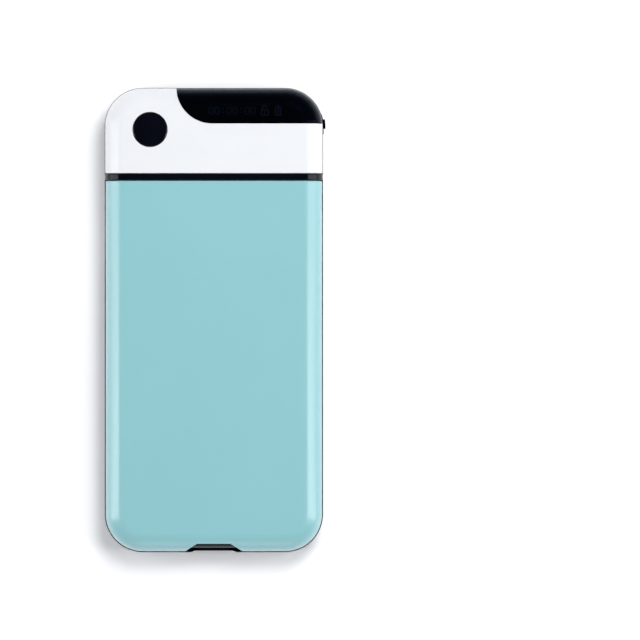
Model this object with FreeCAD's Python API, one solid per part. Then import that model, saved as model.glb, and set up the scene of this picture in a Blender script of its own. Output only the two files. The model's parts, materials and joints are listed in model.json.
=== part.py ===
"""Timed lock container for a phone.

The case lies on its back: +X right, +Y towards the head with the electronics, +Z out of the front.
The origin is the centre of the flat back. Lengths are in millimetres.
"""
import FreeCAD, Part
import math
import os
from FreeCAD import Vector

X_AXIS = Vector(1, 0, 0)
Y_AXIS = Vector(0, 1, 0)
Z_AXIS = Vector(0, 0, 1)
SIDES = (-1, 1)

# ---------------------------------------------------------------- driving dimensions
# case envelope
CASE_WIDTH = 97.3
CASE_LENGTH = 207.0
CASE_DEPTH = 26.0
PLAN_CORNER = 17.0
FRONT_FILLET = 8.0
BACK_FILLET = 5.0
SEAM_HEIGHT = 17.6
SEAM_GAP = 0.15
TRAY_WALL = 2.4
TRAY_FLOOR = 2.2
SKIN = 2.2
LID_SIDE_INSET = 0.4
COVER_SIDE_INSET = 0.2
EDGE_ROUND = 0.35

# band of the bulkhead, between the lid and the head cover
BAND_FROM_HEAD = 39.875
BAND_LENGTH = 2.75
BAND_INSET = 0.05
BAND_GAP = 0.3
LEDGE_REACH = 1.8
LEDGE_THICKNESS = 1.5
LEDGE_ROOT = 0.5
LEDGE_GAP = 0.15

# hinge at the foot of the case
HINGE_SETBACK = 4.65
HINGE_HEIGHT = 20.8
HINGE_PIN_RADIUS = 1.0
HINGE_PIN_RUNNING_GAP = 0.04
HINGE_PIN_END_INSET = 0.3
KNUCKLE_RADIUS = 2.5
KNUCKLE_HALF_WIDTH = 10.6
KNUCKLE_SIDE_GAP = 0.4
WEB_HALF_WIDTH = 7.1
WEB_DEPTH = 6.5
WEB_RAMP_ANGLE = math.radians(30)
WEB_RAMP_DROP = 1.1
LID_ARM_WIDTH = 4.5
LID_ARM_RADIUS = 2.4
SWEEP_CLEARANCE = 0.3
NOTCH_DEPTH = 3.5
NOTCH_HALF_WIDTH_TOP = 7.5
NOTCH_HALF_WIDTH_EDGE = 12.8
NOTCH_CORNER = 0.8
FOOT_RECESS_DEPTH = 0.65
FOOT_RECESS_HALF_WIDTH = 8.3
FOOT_RECESS_SLOPE = 2.0
GUARD_HALF_WIDTH = 17.0
GUARD_REACH = 5.9
GUARD_THICKNESS = 1.0
GUARD_TOP_GAP = 0.4

# nail grooves under the lid's edge
NAIL_GROOVE_LENGTH = 22.0
NAIL_GROOVE_HEIGHT = 1.1
NAIL_GROOVE_DEPTH = 1.0
NAIL_GROOVE_FROM_BAND = 14.0

# pads
FLOOR_PAD_THICKNESS = 1.2
LID_PAD_THICKNESS = 1.2
PAD_EDGE_GAP = 0.6

# display window in the head's right corner
WINDOW_THICKNESS = 1.4
WINDOW_GAP = 0.08
WINDOW_GLUE = 0.05
WINDOW_EDGE_FROM_HEAD = 16.1
WINDOW_ARC_X = -0.65
WINDOW_ARC_RADIUS = 16.0
WINDOW_LEDGE = 1.5

# round button
BUTTON_FROM_SIDE = 20.35
BUTTON_FROM_HEAD = 18.75
BUTTON_RADIUS = 7.65
BUTTON_GAP = 0.2
BUTTON_TRAVEL = 0.6
BUTTON_FLANGE_GAP = 0.1
BUTTON_FLANGE_THICKNESS = 0.8
BUTTON_FLANGE_OVERLAP = 1.2
BUTTON_STEM_RADIUS = 2.2

# side key
SIDE_KEY_FROM_HEAD = 16.1
SIDE_KEY_BASE_LENGTH = 8.9
SIDE_KEY_BASE_HEIGHT = 4.4
SIDE_KEY_NUB_LENGTH = 4.2
SIDE_KEY_NUB_HEIGHT = 2.4
SIDE_KEY_BASE_RISE = 0.25
SIDE_KEY_NUB_RISE = 1.1
SIDE_KEY_GAP = 0.2
SIDE_KEY_TRAVEL = 0.4
SIDE_KEY_FLANGE_OVERLAP = 1.0
SIDE_KEY_FLANGE_THICKNESS = 0.8
SIDE_KEY_FLANGE_GAP = 0.1
SIDE_KEY_ROOT = 0.2
SIDE_KEY_STUB_RADIUS = 1.2

# main board
PCB_TOP = 12.2
PCB_THICKNESS = 1.6
PCB_WALL_GAP = 2.0
PCB_TAIL_OVERLAP = 0.2
PCB_SCREW_RADIUS = 0.9
PCB_SCREW_HEAD_RADIUS = 1.8
PCB_SCREW_HEAD_HEIGHT = 1.3
PCB_SCREW_LENGTH = 5.0
PCB_BOSS_RADIUS = 2.4
PCB_HOLE_GAP = 0.3
PCB_SCREW_LEFT_FROM_WALL = 5.75
PCB_SCREW_RIGHT_FROM_WALL = 8.25
PCB_SCREW_FROM_EDGE = 3.2
REAR_SCREW_FROM_END = 5.6

# case screws from the back
FRONT_TOWER_FROM_WALL = 4.05
FRONT_TOWER_FROM_BAND = 5.2
LEFT_TOWER_FROM_BUTTON = 6.2
RIGHT_TOWER_FROM_WALL = 10.05
RIGHT_TOWER_FROM_EDGE = 2.6
CASE_SCREW_RADIUS = 1.2
CASE_SCREW_HEAD_RADIUS = 2.3
CASE_SCREW_HEAD_HEIGHT = 1.7
CASE_SCREW_GRIP = 6.0
CASE_SCREW_CLEARANCE = 0.15
CASE_SCREW_END_GAP = 0.3
TOWER_RADIUS = 3.4
TOWER_NECK_RADIUS = 3.0
TOWER_SHOULDER_RADIUS = 4.6
TOWER_HEIGHT = 13.0
COVER_BOSS_RADIUS = 2.8
SCREW_PLUG_THICKNESS = 1.4
SCREW_PLUG_GAP = 0.05

# tact switches
TACT_SIZE = 6.0
TACT_HEIGHT = 3.5
TACT_PLUNGER_RADIUS = 1.7
TACT_PLUNGER_RISE = 1.0
TACT_PLUNGER_DEPTH = 1.8
TACT_PLUNGER_GAP = 0.1
TACT_PLUNGER_END_GAP = 0.1
SIDE_TACT_DEPTH = 3.8
SIDE_TACT_HEIGHT = 3.0
SIDE_TACT_PLUNGER_RADIUS = 0.9
SIDE_TACT_PLUNGER_RISE = 1.0
SIDE_TACT_FROM_WALL = 2.65

# lock drive
BOLT_TRAVEL = 4.5
BOLT_REST_INSET = 0.2
BOLT_TONGUE_X = 25.0
BOLT_TONGUE_WIDTH = 8.0
BOLT_PLATE_BOTTOM = 20.0
BOLT_PLATE_THICKNESS = 2.0
BOLT_SLOT_GAP = 0.25
CROSSBAR_DEPTH = 5.0
CROSSBAR_END_MARGIN = 3.0
CROSSBAR_BAND_GAP = 0.4
GUIDE_FROM_WALL = 11.25
GUIDE_PAD_END = 1.7
GUIDE_POST_RADIUS = 2.8
GUIDE_COLLAR_RADIUS = 1.6
GUIDE_SLOT_GAP = 0.2
GUIDE_SCREW_RADIUS = 0.8
GUIDE_SCREW_HEAD_RADIUS = 2.3
GUIDE_SCREW_HEAD_HEIGHT = 0.9
GUIDE_SCREW_LENGTH = 7.0
GEAR_MODULE = 0.5
PINION_TEETH = 12
PRESSURE_ANGLE = math.radians(25)
GEAR_BACKLASH = 0.2
TOOTH_ADDENDUM = 0.45
TOOTH_DEDENDUM = 0.6
PINION_X = 5.2
PINION_WIDTH = 4.0
PINION_HEIGHT = 14.7
PINION_FROM_CROSSBAR = 4.1
RACK_TAIL_WIDTH = 5.0
RACK_RUNOUT = 3.5
MOTOR_SHAFT_RADIUS = 1.0
MOTOR_SHAFT_RUNNING_GAP = 0.05
MOTOR_SHAFT_DEPTH = 3.2
MOTOR_SHAFT_END_GAP = 0.3
MOTOR_SHAFT_OUTREACH = 0.4
MOTOR_WIDTH = 12.0
MOTOR_HEIGHT = 10.0
MOTOR_FROM_PINION = 3.6
MOTOR_GEARBOX_LENGTH = 9.0
MOTOR_CAN_LENGTH = 13.5
MOTOR_CAN_RADIUS = 6.0
MOTOR_BRACKET_THICKNESS = 1.0
MOTOR_BRACKET_FOOT = 8.5
MOTOR_BRACKET_RISE = 1.0
MOTOR_BRACKET_MARGIN = 2.1
MOTOR_BRACKET_TOP_DROP = 0.5
BRACKET_SCREW_RADIUS = 0.8
BRACKET_SCREW_HEAD_RADIUS = 1.6
BRACKET_SCREW_HEAD_HEIGHT = 1.0
BRACKET_SCREW_LENGTH = 2.6
BRACKET_SCREW_SPACING = 8.5
BRACKET_SCREW_FROM_MIDDLE = 1.0
CRADLE_LENGTH = 2.0
CRADLE_FROM_END = 3.0
CRADLE_CHEEK = 1.1
CRADLE_GAP = 0.2
CRADLE_CHEEK_RISE = 3.0

# strike plate in the lid
STRIKE_FROM_GUIDE = 1.0
STRIKE_ABOVE_RIM = 0.55
STRIKE_BELOW_SKIN = 0.4
STRIKE_THICKNESS = 1.0
STRIKE_SCREW_X = 12.0
STRIKE_SCREW_RADIUS = 0.8
STRIKE_SCREW_HEAD_RADIUS = 1.6
STRIKE_SCREW_HEAD_HEIGHT = 0.9
STRIKE_SCREW_BITE = 1.6
MAGNET_FROM_STRIKE = 4.7
MAGNET_SIZE = 4.0
MAGNET_THICKNESS = 1.6
MAGNET_DROP = 1.0

# energy, display and small parts
BATTERY_FROM_LEFT_TOWER = 7.2
BATTERY_FROM_RIGHT_TOWER = 6.2
BATTERY_FROM_BOARD_EDGE = 0.4
BATTERY_FROM_END = 2.7
BATTERY_THICKNESS = 6.0
BATTERY_TAPE_THICKNESS = 0.4
BATTERY_TAPE_END_INSET = 4.0
BATTERY_TAPE_SIDE_INSET = 3.0
BATTERY_EDGE = 1.2
OLED_WIDTH = 36.5
OLED_LENGTH = 9.6
OLED_LEFT_OF_ARC = 4.35
OLED_FROM_WINDOW_EDGE = 0.8
OLED_THICKNESS = 1.45
OLED_LEDGE_GAP = 0.3
CARRIER_MARGIN = 1.2
CARRIER_THICKNESS = 1.8
CARRIER_LEG_RADIUS = 1.2
CARRIER_LEG_INSET = 0.8
CARRIER_MIDDLE_LEG_X = 17.5
FLEX_LOW_X = 8.0
FLEX_HIGH_X = 14.0
FLEX_THICKNESS = 0.3
FLEX_REACH = 1.6
FLEX_EDGE_GAP = 0.3
FLEX_SLOT_GAP = 0.5
FLEX_SLOT_REACH = 0.8
USB_X = 9.0
USB_WIDTH = 9.0
USB_HEIGHT = 3.2
USB_DEPTH = 7.4
USB_SHELL = 0.35
USB_CORNER = 1.1
USB_SETBACK = 0.6
USB_TONGUE_WIDTH = 6.6
USB_TONGUE_HEIGHT = 0.7
USB_TONGUE_SETBACK = 0.8
USB_GAP = 0.2
BUZZER_X = -12.0
BUZZER_FROM_END = 10.1
BUZZER_RADIUS = 4.5
BUZZER_HEIGHT = 3.0
BUZZER_PORT_RADIUS = 0.8
CHIP_X = 18.5
CHIP_FROM_END = 9.9
CHIP_SIZE = 7.0
CHIP_HEIGHT = 1.0
BATTERY_SOCKET_X = 23.0
MOTOR_SOCKET_X = 30.0
SOCKET_WIDTH = 3.6
SOCKET_LENGTH = 2.8
SOCKET_HEIGHT = 3.0
SOCKET_SETBACK = 0.5
LEAD_RADIUS = 0.45
LEAD_SPACING = 1.6
BATTERY_LEAD_BEND = 0.8
MOTOR_LEAD_BEND = 0.6
MOTOR_LEAD_OUTREACH = 1.1
BOLT_SWITCH_WIDTH = 3.2
BOLT_SWITCH_LENGTH = 3.0
BOLT_SWITCH_HEIGHT = 7.4
BOLT_SWITCH_NUB_RADIUS = 0.6
BOLT_SWITCH_GAP = 0.3
BOLT_SWITCH_SETBACK = 1.2
BOLT_SWITCH_NUB_ROOT = 0.5
BOLT_SWITCH_NUB_DROP = 1.0
SENSOR_WIDTH = 4.0
SENSOR_LOW = 14.8
SENSOR_HEIGHT = 4.0
SENSOR_THICKNESS = 1.2
SENSOR_LEAD_RADIUS = 0.35
SENSOR_LEAD_BEND = 2.0
SENSOR_LEAD_OFFSET = 0.4
SENSOR_LEAD_FROM_EDGE = 1.2

# how far a cutting shape runs past the face it cuts
OVERRUN = 1.0

# ---------------------------------------------------------------- derived sizes
HALF_WIDTH = CASE_WIDTH / 2
HEAD_END = CASE_LENGTH / 2
FOOT_END = -CASE_LENGTH / 2
CORNER_X = HALF_WIDTH - PLAN_CORNER
FOOT_CORNER_Y = FOOT_END + PLAN_CORNER
BAND_CENTRE_Y = HEAD_END - BAND_FROM_HEAD
BAND_LOW = BAND_CENTRE_Y - BAND_LENGTH / 2
BAND_HIGH = BAND_CENTRE_Y + BAND_LENGTH / 2
LID_TOP = BAND_LOW - BAND_GAP
COVER_LOW = BAND_HIGH + BAND_GAP
LID_BOTTOM = SEAM_HEIGHT + SEAM_GAP
HINGE_Y = FOOT_END + HINGE_SETBACK
INNER_X = HALF_WIDTH - TRAY_WALL
INNER_HEAD_Y = HEAD_END - TRAY_WALL
CEILING = CASE_DEPTH - SKIN
WINDOW_EDGE_Y = HEAD_END - WINDOW_EDGE_FROM_HEAD
BUTTON_X = BUTTON_FROM_SIDE - HALF_WIDTH
BUTTON_Y = HEAD_END - BUTTON_FROM_HEAD
BUTTON_CAP_DEPTH = SKIN + BUTTON_FLANGE_GAP
SIDE_KEY_Y = HEAD_END - SIDE_KEY_FROM_HEAD
LID_ARM_INNER = KNUCKLE_HALF_WIDTH + KNUCKLE_SIDE_GAP
LID_ARM_OUTER = LID_ARM_INNER + LID_ARM_WIDTH
PLATE_TOP = BOLT_PLATE_BOTTOM + BOLT_PLATE_THICKNESS
TONGUE_TIP_Y = BAND_LOW + BOLT_REST_INSET
CROSSBAR_LOW_Y = BAND_HIGH + BOLT_TRAVEL + CROSSBAR_BAND_GAP
CROSSBAR_HIGH_Y = CROSSBAR_LOW_Y + CROSSBAR_DEPTH
GUIDE_X = INNER_X - GUIDE_FROM_WALL
GUIDE_Y = CROSSBAR_LOW_Y + CROSSBAR_DEPTH / 2
CROSSBAR_HALF_WIDTH = GUIDE_X + CROSSBAR_END_MARGIN
STRIKE_HALF_WIDTH = GUIDE_X - STRIKE_FROM_GUIDE
STRIKE_LOW = LID_BOTTOM + STRIKE_ABOVE_RIM
STRIKE_HIGH = CEILING - STRIKE_BELOW_SKIN
MAGNET_X = -(STRIKE_HALF_WIDTH + MAGNET_FROM_STRIKE)
PINION_Y = CROSSBAR_LOW_Y + PINION_FROM_CROSSBAR
RACK_TAIL_END = PINION_Y + BOLT_TRAVEL + RACK_RUNOUT
PITCH_RADIUS = GEAR_MODULE * PINION_TEETH / 2
BASE_RADIUS = PITCH_RADIUS * math.cos(PRESSURE_ANGLE)
TIP_RADIUS = PITCH_RADIUS + TOOTH_ADDENDUM
ROOT_RADIUS = PITCH_RADIUS - TOOTH_DEDENDUM
TOOTH_PITCH = math.pi * GEAR_MODULE
TOOTH_THICKNESS = (TOOTH_PITCH - GEAR_BACKLASH) / 2
RACK_TEETH = math.ceil(BOLT_TRAVEL / TOOTH_PITCH) + 3
RACK_PITCH_Z = PINION_HEIGHT + PITCH_RADIUS
MOTOR_GEARBOX_X = PINION_X + MOTOR_FROM_PINION
MOTOR_BOTTOM = PINION_HEIGHT - MOTOR_HEIGHT / 2
MOTOR_LOW_Y = PINION_Y - MOTOR_WIDTH / 2
MOTOR_HIGH_Y = PINION_Y + MOTOR_WIDTH / 2
MOTOR_CAN_X = MOTOR_GEARBOX_X + MOTOR_GEARBOX_LENGTH
MOTOR_END_X = MOTOR_CAN_X + MOTOR_CAN_LENGTH
PCB_BOTTOM = PCB_TOP - PCB_THICKNESS
PCB_LOW_Y = RACK_TAIL_END - PCB_TAIL_OVERLAP
REAR_SCREW_Y = INNER_HEAD_Y - REAR_SCREW_FROM_END
LEFT_TOWER_X = BUTTON_X - LEFT_TOWER_FROM_BUTTON
RIGHT_TOWER_X = INNER_X - RIGHT_TOWER_FROM_WALL
CASE_SCREW_PLACES = (
    (FRONT_TOWER_FROM_WALL - INNER_X, BAND_HIGH + FRONT_TOWER_FROM_BAND),
    (INNER_X - FRONT_TOWER_FROM_WALL, BAND_HIGH + FRONT_TOWER_FROM_BAND),
    (LEFT_TOWER_X, REAR_SCREW_Y),
    (RIGHT_TOWER_X, PCB_LOW_Y + RIGHT_TOWER_FROM_EDGE),
)
PCB_SCREW_PLACES = (
    (PCB_SCREW_LEFT_FROM_WALL - INNER_X, PCB_LOW_Y + PCB_SCREW_FROM_EDGE),
    (INNER_X - PCB_SCREW_RIGHT_FROM_WALL, REAR_SCREW_Y),
)
BATTERY_LOW_X = LEFT_TOWER_X + BATTERY_FROM_LEFT_TOWER
BATTERY_HIGH_X = RIGHT_TOWER_X - BATTERY_FROM_RIGHT_TOWER
BATTERY_LOW_Y = PCB_LOW_Y + BATTERY_FROM_BOARD_EDGE
BATTERY_HIGH_Y = INNER_HEAD_Y - BATTERY_FROM_END
BUZZER_Y = INNER_HEAD_Y - BUZZER_FROM_END
CHIP_Y = INNER_HEAD_Y - CHIP_FROM_END
BATTERY_BOTTOM = TRAY_FLOOR + BATTERY_TAPE_THICKNESS
BATTERY_TOP = BATTERY_BOTTOM + BATTERY_THICKNESS
OLED_LOW_X = WINDOW_ARC_X - OLED_LEFT_OF_ARC
OLED_HIGH_X = OLED_LOW_X + OLED_WIDTH
OLED_LOW_Y = WINDOW_EDGE_Y + OLED_FROM_WINDOW_EDGE
OLED_HIGH_Y = OLED_LOW_Y + OLED_LENGTH
OLED_TOP = CEILING - OLED_LEDGE_GAP
OLED_BOTTOM = OLED_TOP - OLED_THICKNESS
CARRIER_BOTTOM = OLED_BOTTOM - CARRIER_THICKNESS
CARRIER_LEG_PLACES = (
    (OLED_LOW_X + CARRIER_LEG_INSET, OLED_LOW_Y + CARRIER_LEG_INSET),
    (OLED_HIGH_X - CARRIER_LEG_INSET, OLED_HIGH_Y - CARRIER_LEG_INSET),
    (CARRIER_MIDDLE_LEG_X, OLED_HIGH_Y - CARRIER_LEG_INSET),
)
SIDE_TACT_FACE_X = INNER_X - SIDE_TACT_FROM_WALL
SIDE_KEY_Z = PCB_TOP + SIDE_TACT_HEIGHT / 2
CASE_HEAD_BASE = SCREW_PLUG_THICKNESS
CASE_HEAD_TOP = CASE_HEAD_BASE + CASE_SCREW_HEAD_HEIGHT
STRIKE_FACE_Y = LID_TOP - SKIN


# ---------------------------------------------------------------- shape helpers
def box(low_x, high_x, low_y, high_y, low_z, high_z):
    corner = Vector(low_x, low_y, low_z)
    return Part.makeBox(high_x - low_x, high_y - low_y, high_z - low_z, corner)


def block(x, y, width, length, low_z, high_z):
    """Upright block centred on x, y."""
    return box(x - width / 2, x + width / 2, y - length / 2, y + length / 2, low_z, high_z)


def post(x, y, radius, low_z, high_z):
    return Part.makeCylinder(radius, high_z - low_z, Vector(x, y, low_z), Z_AXIS)


def rod_x(radius, low_x, high_x, y, z):
    return Part.makeCylinder(radius, high_x - low_x, Vector(low_x, y, z), X_AXIS)


def rod_y(radius, low_y, high_y, x, z):
    return Part.makeCylinder(radius, high_y - low_y, Vector(x, low_y, z), Y_AXIS)


def prism(points, direction):
    """Solid swept from a closed outline of points along a direction."""
    outline = Part.makePolygon(points + points[:1])
    return Part.Face(outline).extrude(direction)


def joined(shapes):
    first, *others = shapes
    return first.fuse(others).removeSplitter()


def is_level(edge, height):
    middle = edge.CenterOfMass.z
    ends = [vertex.Point.z for vertex in edge.Vertexes]
    return all(abs(z - height) < 1e-6 for z in ends + [middle])


def level_edges(shape, height):
    return [edge for edge in shape.Edges if is_level(edge, height)]


def edges_along_x(shape):
    return [edge for edge in shape.Edges if abs(edge.BoundBox.XLength - edge.Length) < 1e-4]


def edges_along_y(shape):
    return [edge for edge in shape.Edges if abs(edge.BoundBox.YLength - edge.Length) < 1e-4]


def upright_edges(shape):
    return [edge for edge in shape.Edges if abs(edge.BoundBox.ZLength - edge.Length) < 1e-4]


def rounded_block(low_x, high_x, low_y, high_y, low_z, high_z, corner):
    solid = box(low_x, high_x, low_y, high_y, low_z, high_z)
    return solid.makeFillet(corner, upright_edges(solid))


def case_slab(inset, low_z, high_z, front_fillet=0.0, back_fillet=0.0):
    """The case's plan outline, drawn in by inset, between two heights."""
    half_width = HALF_WIDTH - inset
    solid = rounded_block(-half_width, half_width, FOOT_END + inset, HEAD_END - inset,
                          low_z, high_z, PLAN_CORNER - inset)
    if front_fillet > 0:
        solid = solid.makeFillet(front_fillet, level_edges(solid, high_z))
    if back_fillet > 0:
        solid = solid.makeFillet(back_fillet, level_edges(solid, low_z))
    return solid


def across(low_y, high_y):
    """Box over the whole case between two places along its length."""
    return box(-CASE_WIDTH, CASE_WIDTH, low_y, high_y, -CASE_DEPTH, 2 * CASE_DEPTH)


def end_edges(shape, y, above_z):
    """Edges of the flat end at y that lie on the outside of the front."""
    found = []
    for edge in shape.Edges:
        points = [vertex.Point for vertex in edge.Vertexes] + [edge.CenterOfMass]
        in_end = all(abs(point.y - y) < 1e-6 for point in points)
        if in_end and min(point.z for point in points) >= above_z:
            found.append(edge)
    return found


def wire_lead(points, bend_radius, radius=LEAD_RADIUS):
    """Round lead along straight runs that tangent arcs join."""
    runs = []
    start = points[0]
    for before, corner, after in zip(points, points[1:], points[2:]):
        back = (before - corner).normalize()
        ahead = (after - corner).normalize()
        half_turn = back.getAngle(ahead) / 2
        reach = bend_radius / math.tan(half_turn)
        arc_start = corner + back * reach
        arc_end = corner + ahead * reach
        bisector = (back + ahead).normalize()
        inward = bend_radius / math.sin(half_turn) - bend_radius
        runs.append(Part.makeLine(start, arc_start))
        runs.append(Part.Arc(arc_start, corner + bisector * inward, arc_end).toShape())
        start = arc_end
    runs.append(Part.makeLine(start, points[-1]))
    path = Part.Wire(runs)
    section = Part.Wire(Part.makeCircle(radius, points[0], points[1] - points[0]))
    return path.makePipeShell([section], True, False)


def headed_screw(base, direction, radius, length, head_radius, head_height):
    """Screw whose head sits on base and whose shank runs along direction."""
    shank = Part.makeCylinder(radius, length, base, direction)
    head = Part.makeCylinder(head_radius, head_height, base, direction * -1)
    return joined([shank, head])


def mirrored_pair(maker):
    return Part.makeCompound([maker(side) for side in SIDES])


# ---------------------------------------------------------------- gear outlines
def involute_point(radius, centre_angle, side):
    """Point of the tooth flank at a radius; side -1 or 1 picks the flank."""
    half_at_pitch = TOOTH_THICKNESS / (2 * PITCH_RADIUS)
    pitch_roll = math.tan(PRESSURE_ANGLE) - PRESSURE_ANGLE
    flank_angle = math.acos(BASE_RADIUS / radius)
    roll = math.tan(flank_angle) - flank_angle
    angle = centre_angle + side * (half_at_pitch + pitch_roll - roll)
    return polar_point(radius, angle)


def polar_point(radius, angle):
    return Vector(0, radius * math.cos(angle), radius * math.sin(angle))


def pinion_tooth_edges(index):
    """Edges of one tooth and of the root that follows it, around the X axis."""
    step = 2 * math.pi / PINION_TEETH
    centre = math.pi / 2 + step * (index + 0.5)
    middle_radius = (BASE_RADIUS + TIP_RADIUS) / 2
    first_flank = [involute_point(r, centre, -1) for r in (BASE_RADIUS, middle_radius, TIP_RADIUS)]
    last_flank = [involute_point(r, centre, 1) for r in (TIP_RADIUS, middle_radius, BASE_RADIUS)]
    base_angle = math.atan2(last_flank[-1].z, last_flank[-1].y)
    next_base = involute_point(BASE_RADIUS, centre + step, -1)
    next_angle = math.atan2(next_base.z, next_base.y)
    first_angle = math.atan2(first_flank[0].z, first_flank[0].y)
    root_start = polar_point(ROOT_RADIUS, base_angle)
    root_end = polar_point(ROOT_RADIUS, next_angle)
    root_middle = polar_point(ROOT_RADIUS, centre + step / 2)
    return [
        Part.makeLine(polar_point(ROOT_RADIUS, first_angle), first_flank[0]),
        Part.Arc(*first_flank).toShape(),
        Part.Arc(first_flank[-1], polar_point(TIP_RADIUS, centre), last_flank[0]).toShape(),
        Part.Arc(*last_flank).toShape(),
        Part.makeLine(last_flank[-1], root_start),
        Part.Arc(root_start, root_middle, root_end).toShape(),
    ]


def rack_tooth(y):
    """Rack tooth that points down, between the plate's tail and the pinion."""
    half = TOOTH_THICKNESS / 2
    tip_half = half - TOOTH_ADDENDUM * math.tan(PRESSURE_ANGLE)
    root_half = half + TOOTH_DEDENDUM * math.tan(PRESSURE_ANGLE)
    x = PINION_X - PINION_WIDTH / 2
    tip_z = RACK_PITCH_Z - TOOTH_ADDENDUM
    root_z = RACK_PITCH_Z + TOOTH_DEDENDUM
    points = [
        Vector(x, y - tip_half, tip_z),
        Vector(x, y + tip_half, tip_z),
        Vector(x, y + root_half, root_z),
        Vector(x, y - root_half, root_z),
    ]
    return prism(points, Vector(PINION_WIDTH, 0, 0))


# ---------------------------------------------------------------- hinge geometry
def lid_sweep_relief():
    """Space that the lid's foot end needs below the seam while it turns."""
    lid_corner = PLAN_CORNER - LID_SIDE_INSET
    drop = HINGE_HEIGHT - LID_BOTTOM
    to_corner_centre = FOOT_CORNER_Y - HINGE_Y

    def reach(x_from_corner):
        behind = math.sqrt(lid_corner ** 2 - x_from_corner ** 2) - to_corner_centre
        return math.hypot(behind, drop) + SWEEP_CLEARANCE

    last = math.sqrt(lid_corner ** 2 - to_corner_centre ** 2)

    def profile_point(x, radius):
        return Vector(x, HINGE_Y, HINGE_HEIGHT - radius)

    def profile_arc(side):
        return Part.Arc(profile_point(side * (CORNER_X + last), reach(last)),
                        profile_point(side * (CORNER_X + last / 2), reach(last / 2)),
                        profile_point(side * CORNER_X, reach(0))).toShape()

    far = CORNER_X + last
    outline = Part.Wire([
        Part.makeLine(profile_point(-far, 0), profile_point(-far, reach(last))),
        profile_arc(-1),
        Part.makeLine(profile_point(-CORNER_X, reach(0)), profile_point(CORNER_X, reach(0))),
        profile_arc(1),
        Part.makeLine(profile_point(far, reach(last)), profile_point(far, 0)),
        Part.makeLine(profile_point(far, 0), profile_point(-far, 0)),
    ])
    return Part.Face(outline).revolve(Vector(0, HINGE_Y, HINGE_HEIGHT), X_AXIS, 360)


def hinge_knuckle():
    """Barrel in the lid's notch, carried by a web that rises from the end wall."""
    barrel = rod_x(KNUCKLE_RADIUS, -KNUCKLE_HALF_WIDTH, KNUCKLE_HALF_WIDTH, HINGE_Y, HINGE_HEIGHT)
    web_outer_y = FOOT_END + FOOT_RECESS_DEPTH
    web_inner_y = FOOT_END + TRAY_WALL
    web_bottom = HINGE_HEIGHT - WEB_DEPTH
    ramp_top = HINGE_HEIGHT - KNUCKLE_RADIUS * math.cos(WEB_RAMP_ANGLE)
    points = [
        Vector(-WEB_HALF_WIDTH, HINGE_Y - KNUCKLE_RADIUS / 2, ramp_top),
        Vector(-WEB_HALF_WIDTH, web_outer_y, ramp_top - WEB_RAMP_DROP),
        Vector(-WEB_HALF_WIDTH, web_outer_y, web_bottom),
        Vector(-WEB_HALF_WIDTH, web_inner_y, web_bottom),
        Vector(-WEB_HALF_WIDTH, HINGE_Y + KNUCKLE_RADIUS / 2, ramp_top),
    ]
    web = prism(points, Vector(2 * WEB_HALF_WIDTH, 0, 0))
    bore = rod_x(HINGE_PIN_RADIUS + HINGE_PIN_RUNNING_GAP, -HALF_WIDTH, HALF_WIDTH,
                 HINGE_Y, HINGE_HEIGHT)
    return joined([barrel, web]), bore


def hinge_guard():
    """Channel behind the knuckle that shuts off the notch from the phone bay."""
    bottom = HINGE_HEIGHT - GUARD_REACH - GUARD_THICKNESS
    inner_y = HINGE_Y + GUARD_REACH
    outer_y = inner_y + GUARD_THICKNESS
    half = GUARD_HALF_WIDTH
    gutter = box(-half, half, FOOT_END + TRAY_WALL / 2, outer_y, bottom, bottom + GUARD_THICKNESS)
    screen = box(-half, half, inner_y, outer_y, bottom, CEILING - GUARD_TOP_GAP)
    return [gutter, screen]


def notch_prism():
    """Trapezoid cut from the lid's foot edge."""
    inner_y = FOOT_END + LID_SIDE_INSET + NOTCH_DEPTH
    slope = (NOTCH_HALF_WIDTH_EDGE - NOTCH_HALF_WIDTH_TOP) / NOTCH_DEPTH
    outer_y = inner_y - 2 * NOTCH_DEPTH
    outer_half = NOTCH_HALF_WIDTH_TOP + slope * 2 * NOTCH_DEPTH
    points = [
        Vector(-NOTCH_HALF_WIDTH_TOP, inner_y, SEAM_HEIGHT - OVERRUN),
        Vector(NOTCH_HALF_WIDTH_TOP, inner_y, SEAM_HEIGHT - OVERRUN),
        Vector(outer_half, outer_y, SEAM_HEIGHT - OVERRUN),
        Vector(-outer_half, outer_y, SEAM_HEIGHT - OVERRUN),
    ]
    solid = prism(points, Vector(0, 0, CASE_DEPTH))
    corners = [edge for edge in upright_edges(solid) if edge.CenterOfMass.y > inner_y - 0.01]
    return solid.makeFillet(NOTCH_CORNER, corners)


def foot_recess():
    """Shallow recess of the tray's end wall below the notch."""
    deep_y = FOOT_END + FOOT_RECESS_DEPTH
    deep_half = FOOT_RECESS_HALF_WIDTH
    open_half = FOOT_RECESS_HALF_WIDTH + 2 * FOOT_RECESS_SLOPE
    points = [
        Vector(-deep_half, deep_y, -OVERRUN),
        Vector(deep_half, deep_y, -OVERRUN),
        Vector(open_half, deep_y - 2 * FOOT_RECESS_DEPTH, -OVERRUN),
        Vector(-open_half, deep_y - 2 * FOOT_RECESS_DEPTH, -OVERRUN),
    ]
    return prism(points, Vector(0, 0, CASE_DEPTH))


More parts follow.
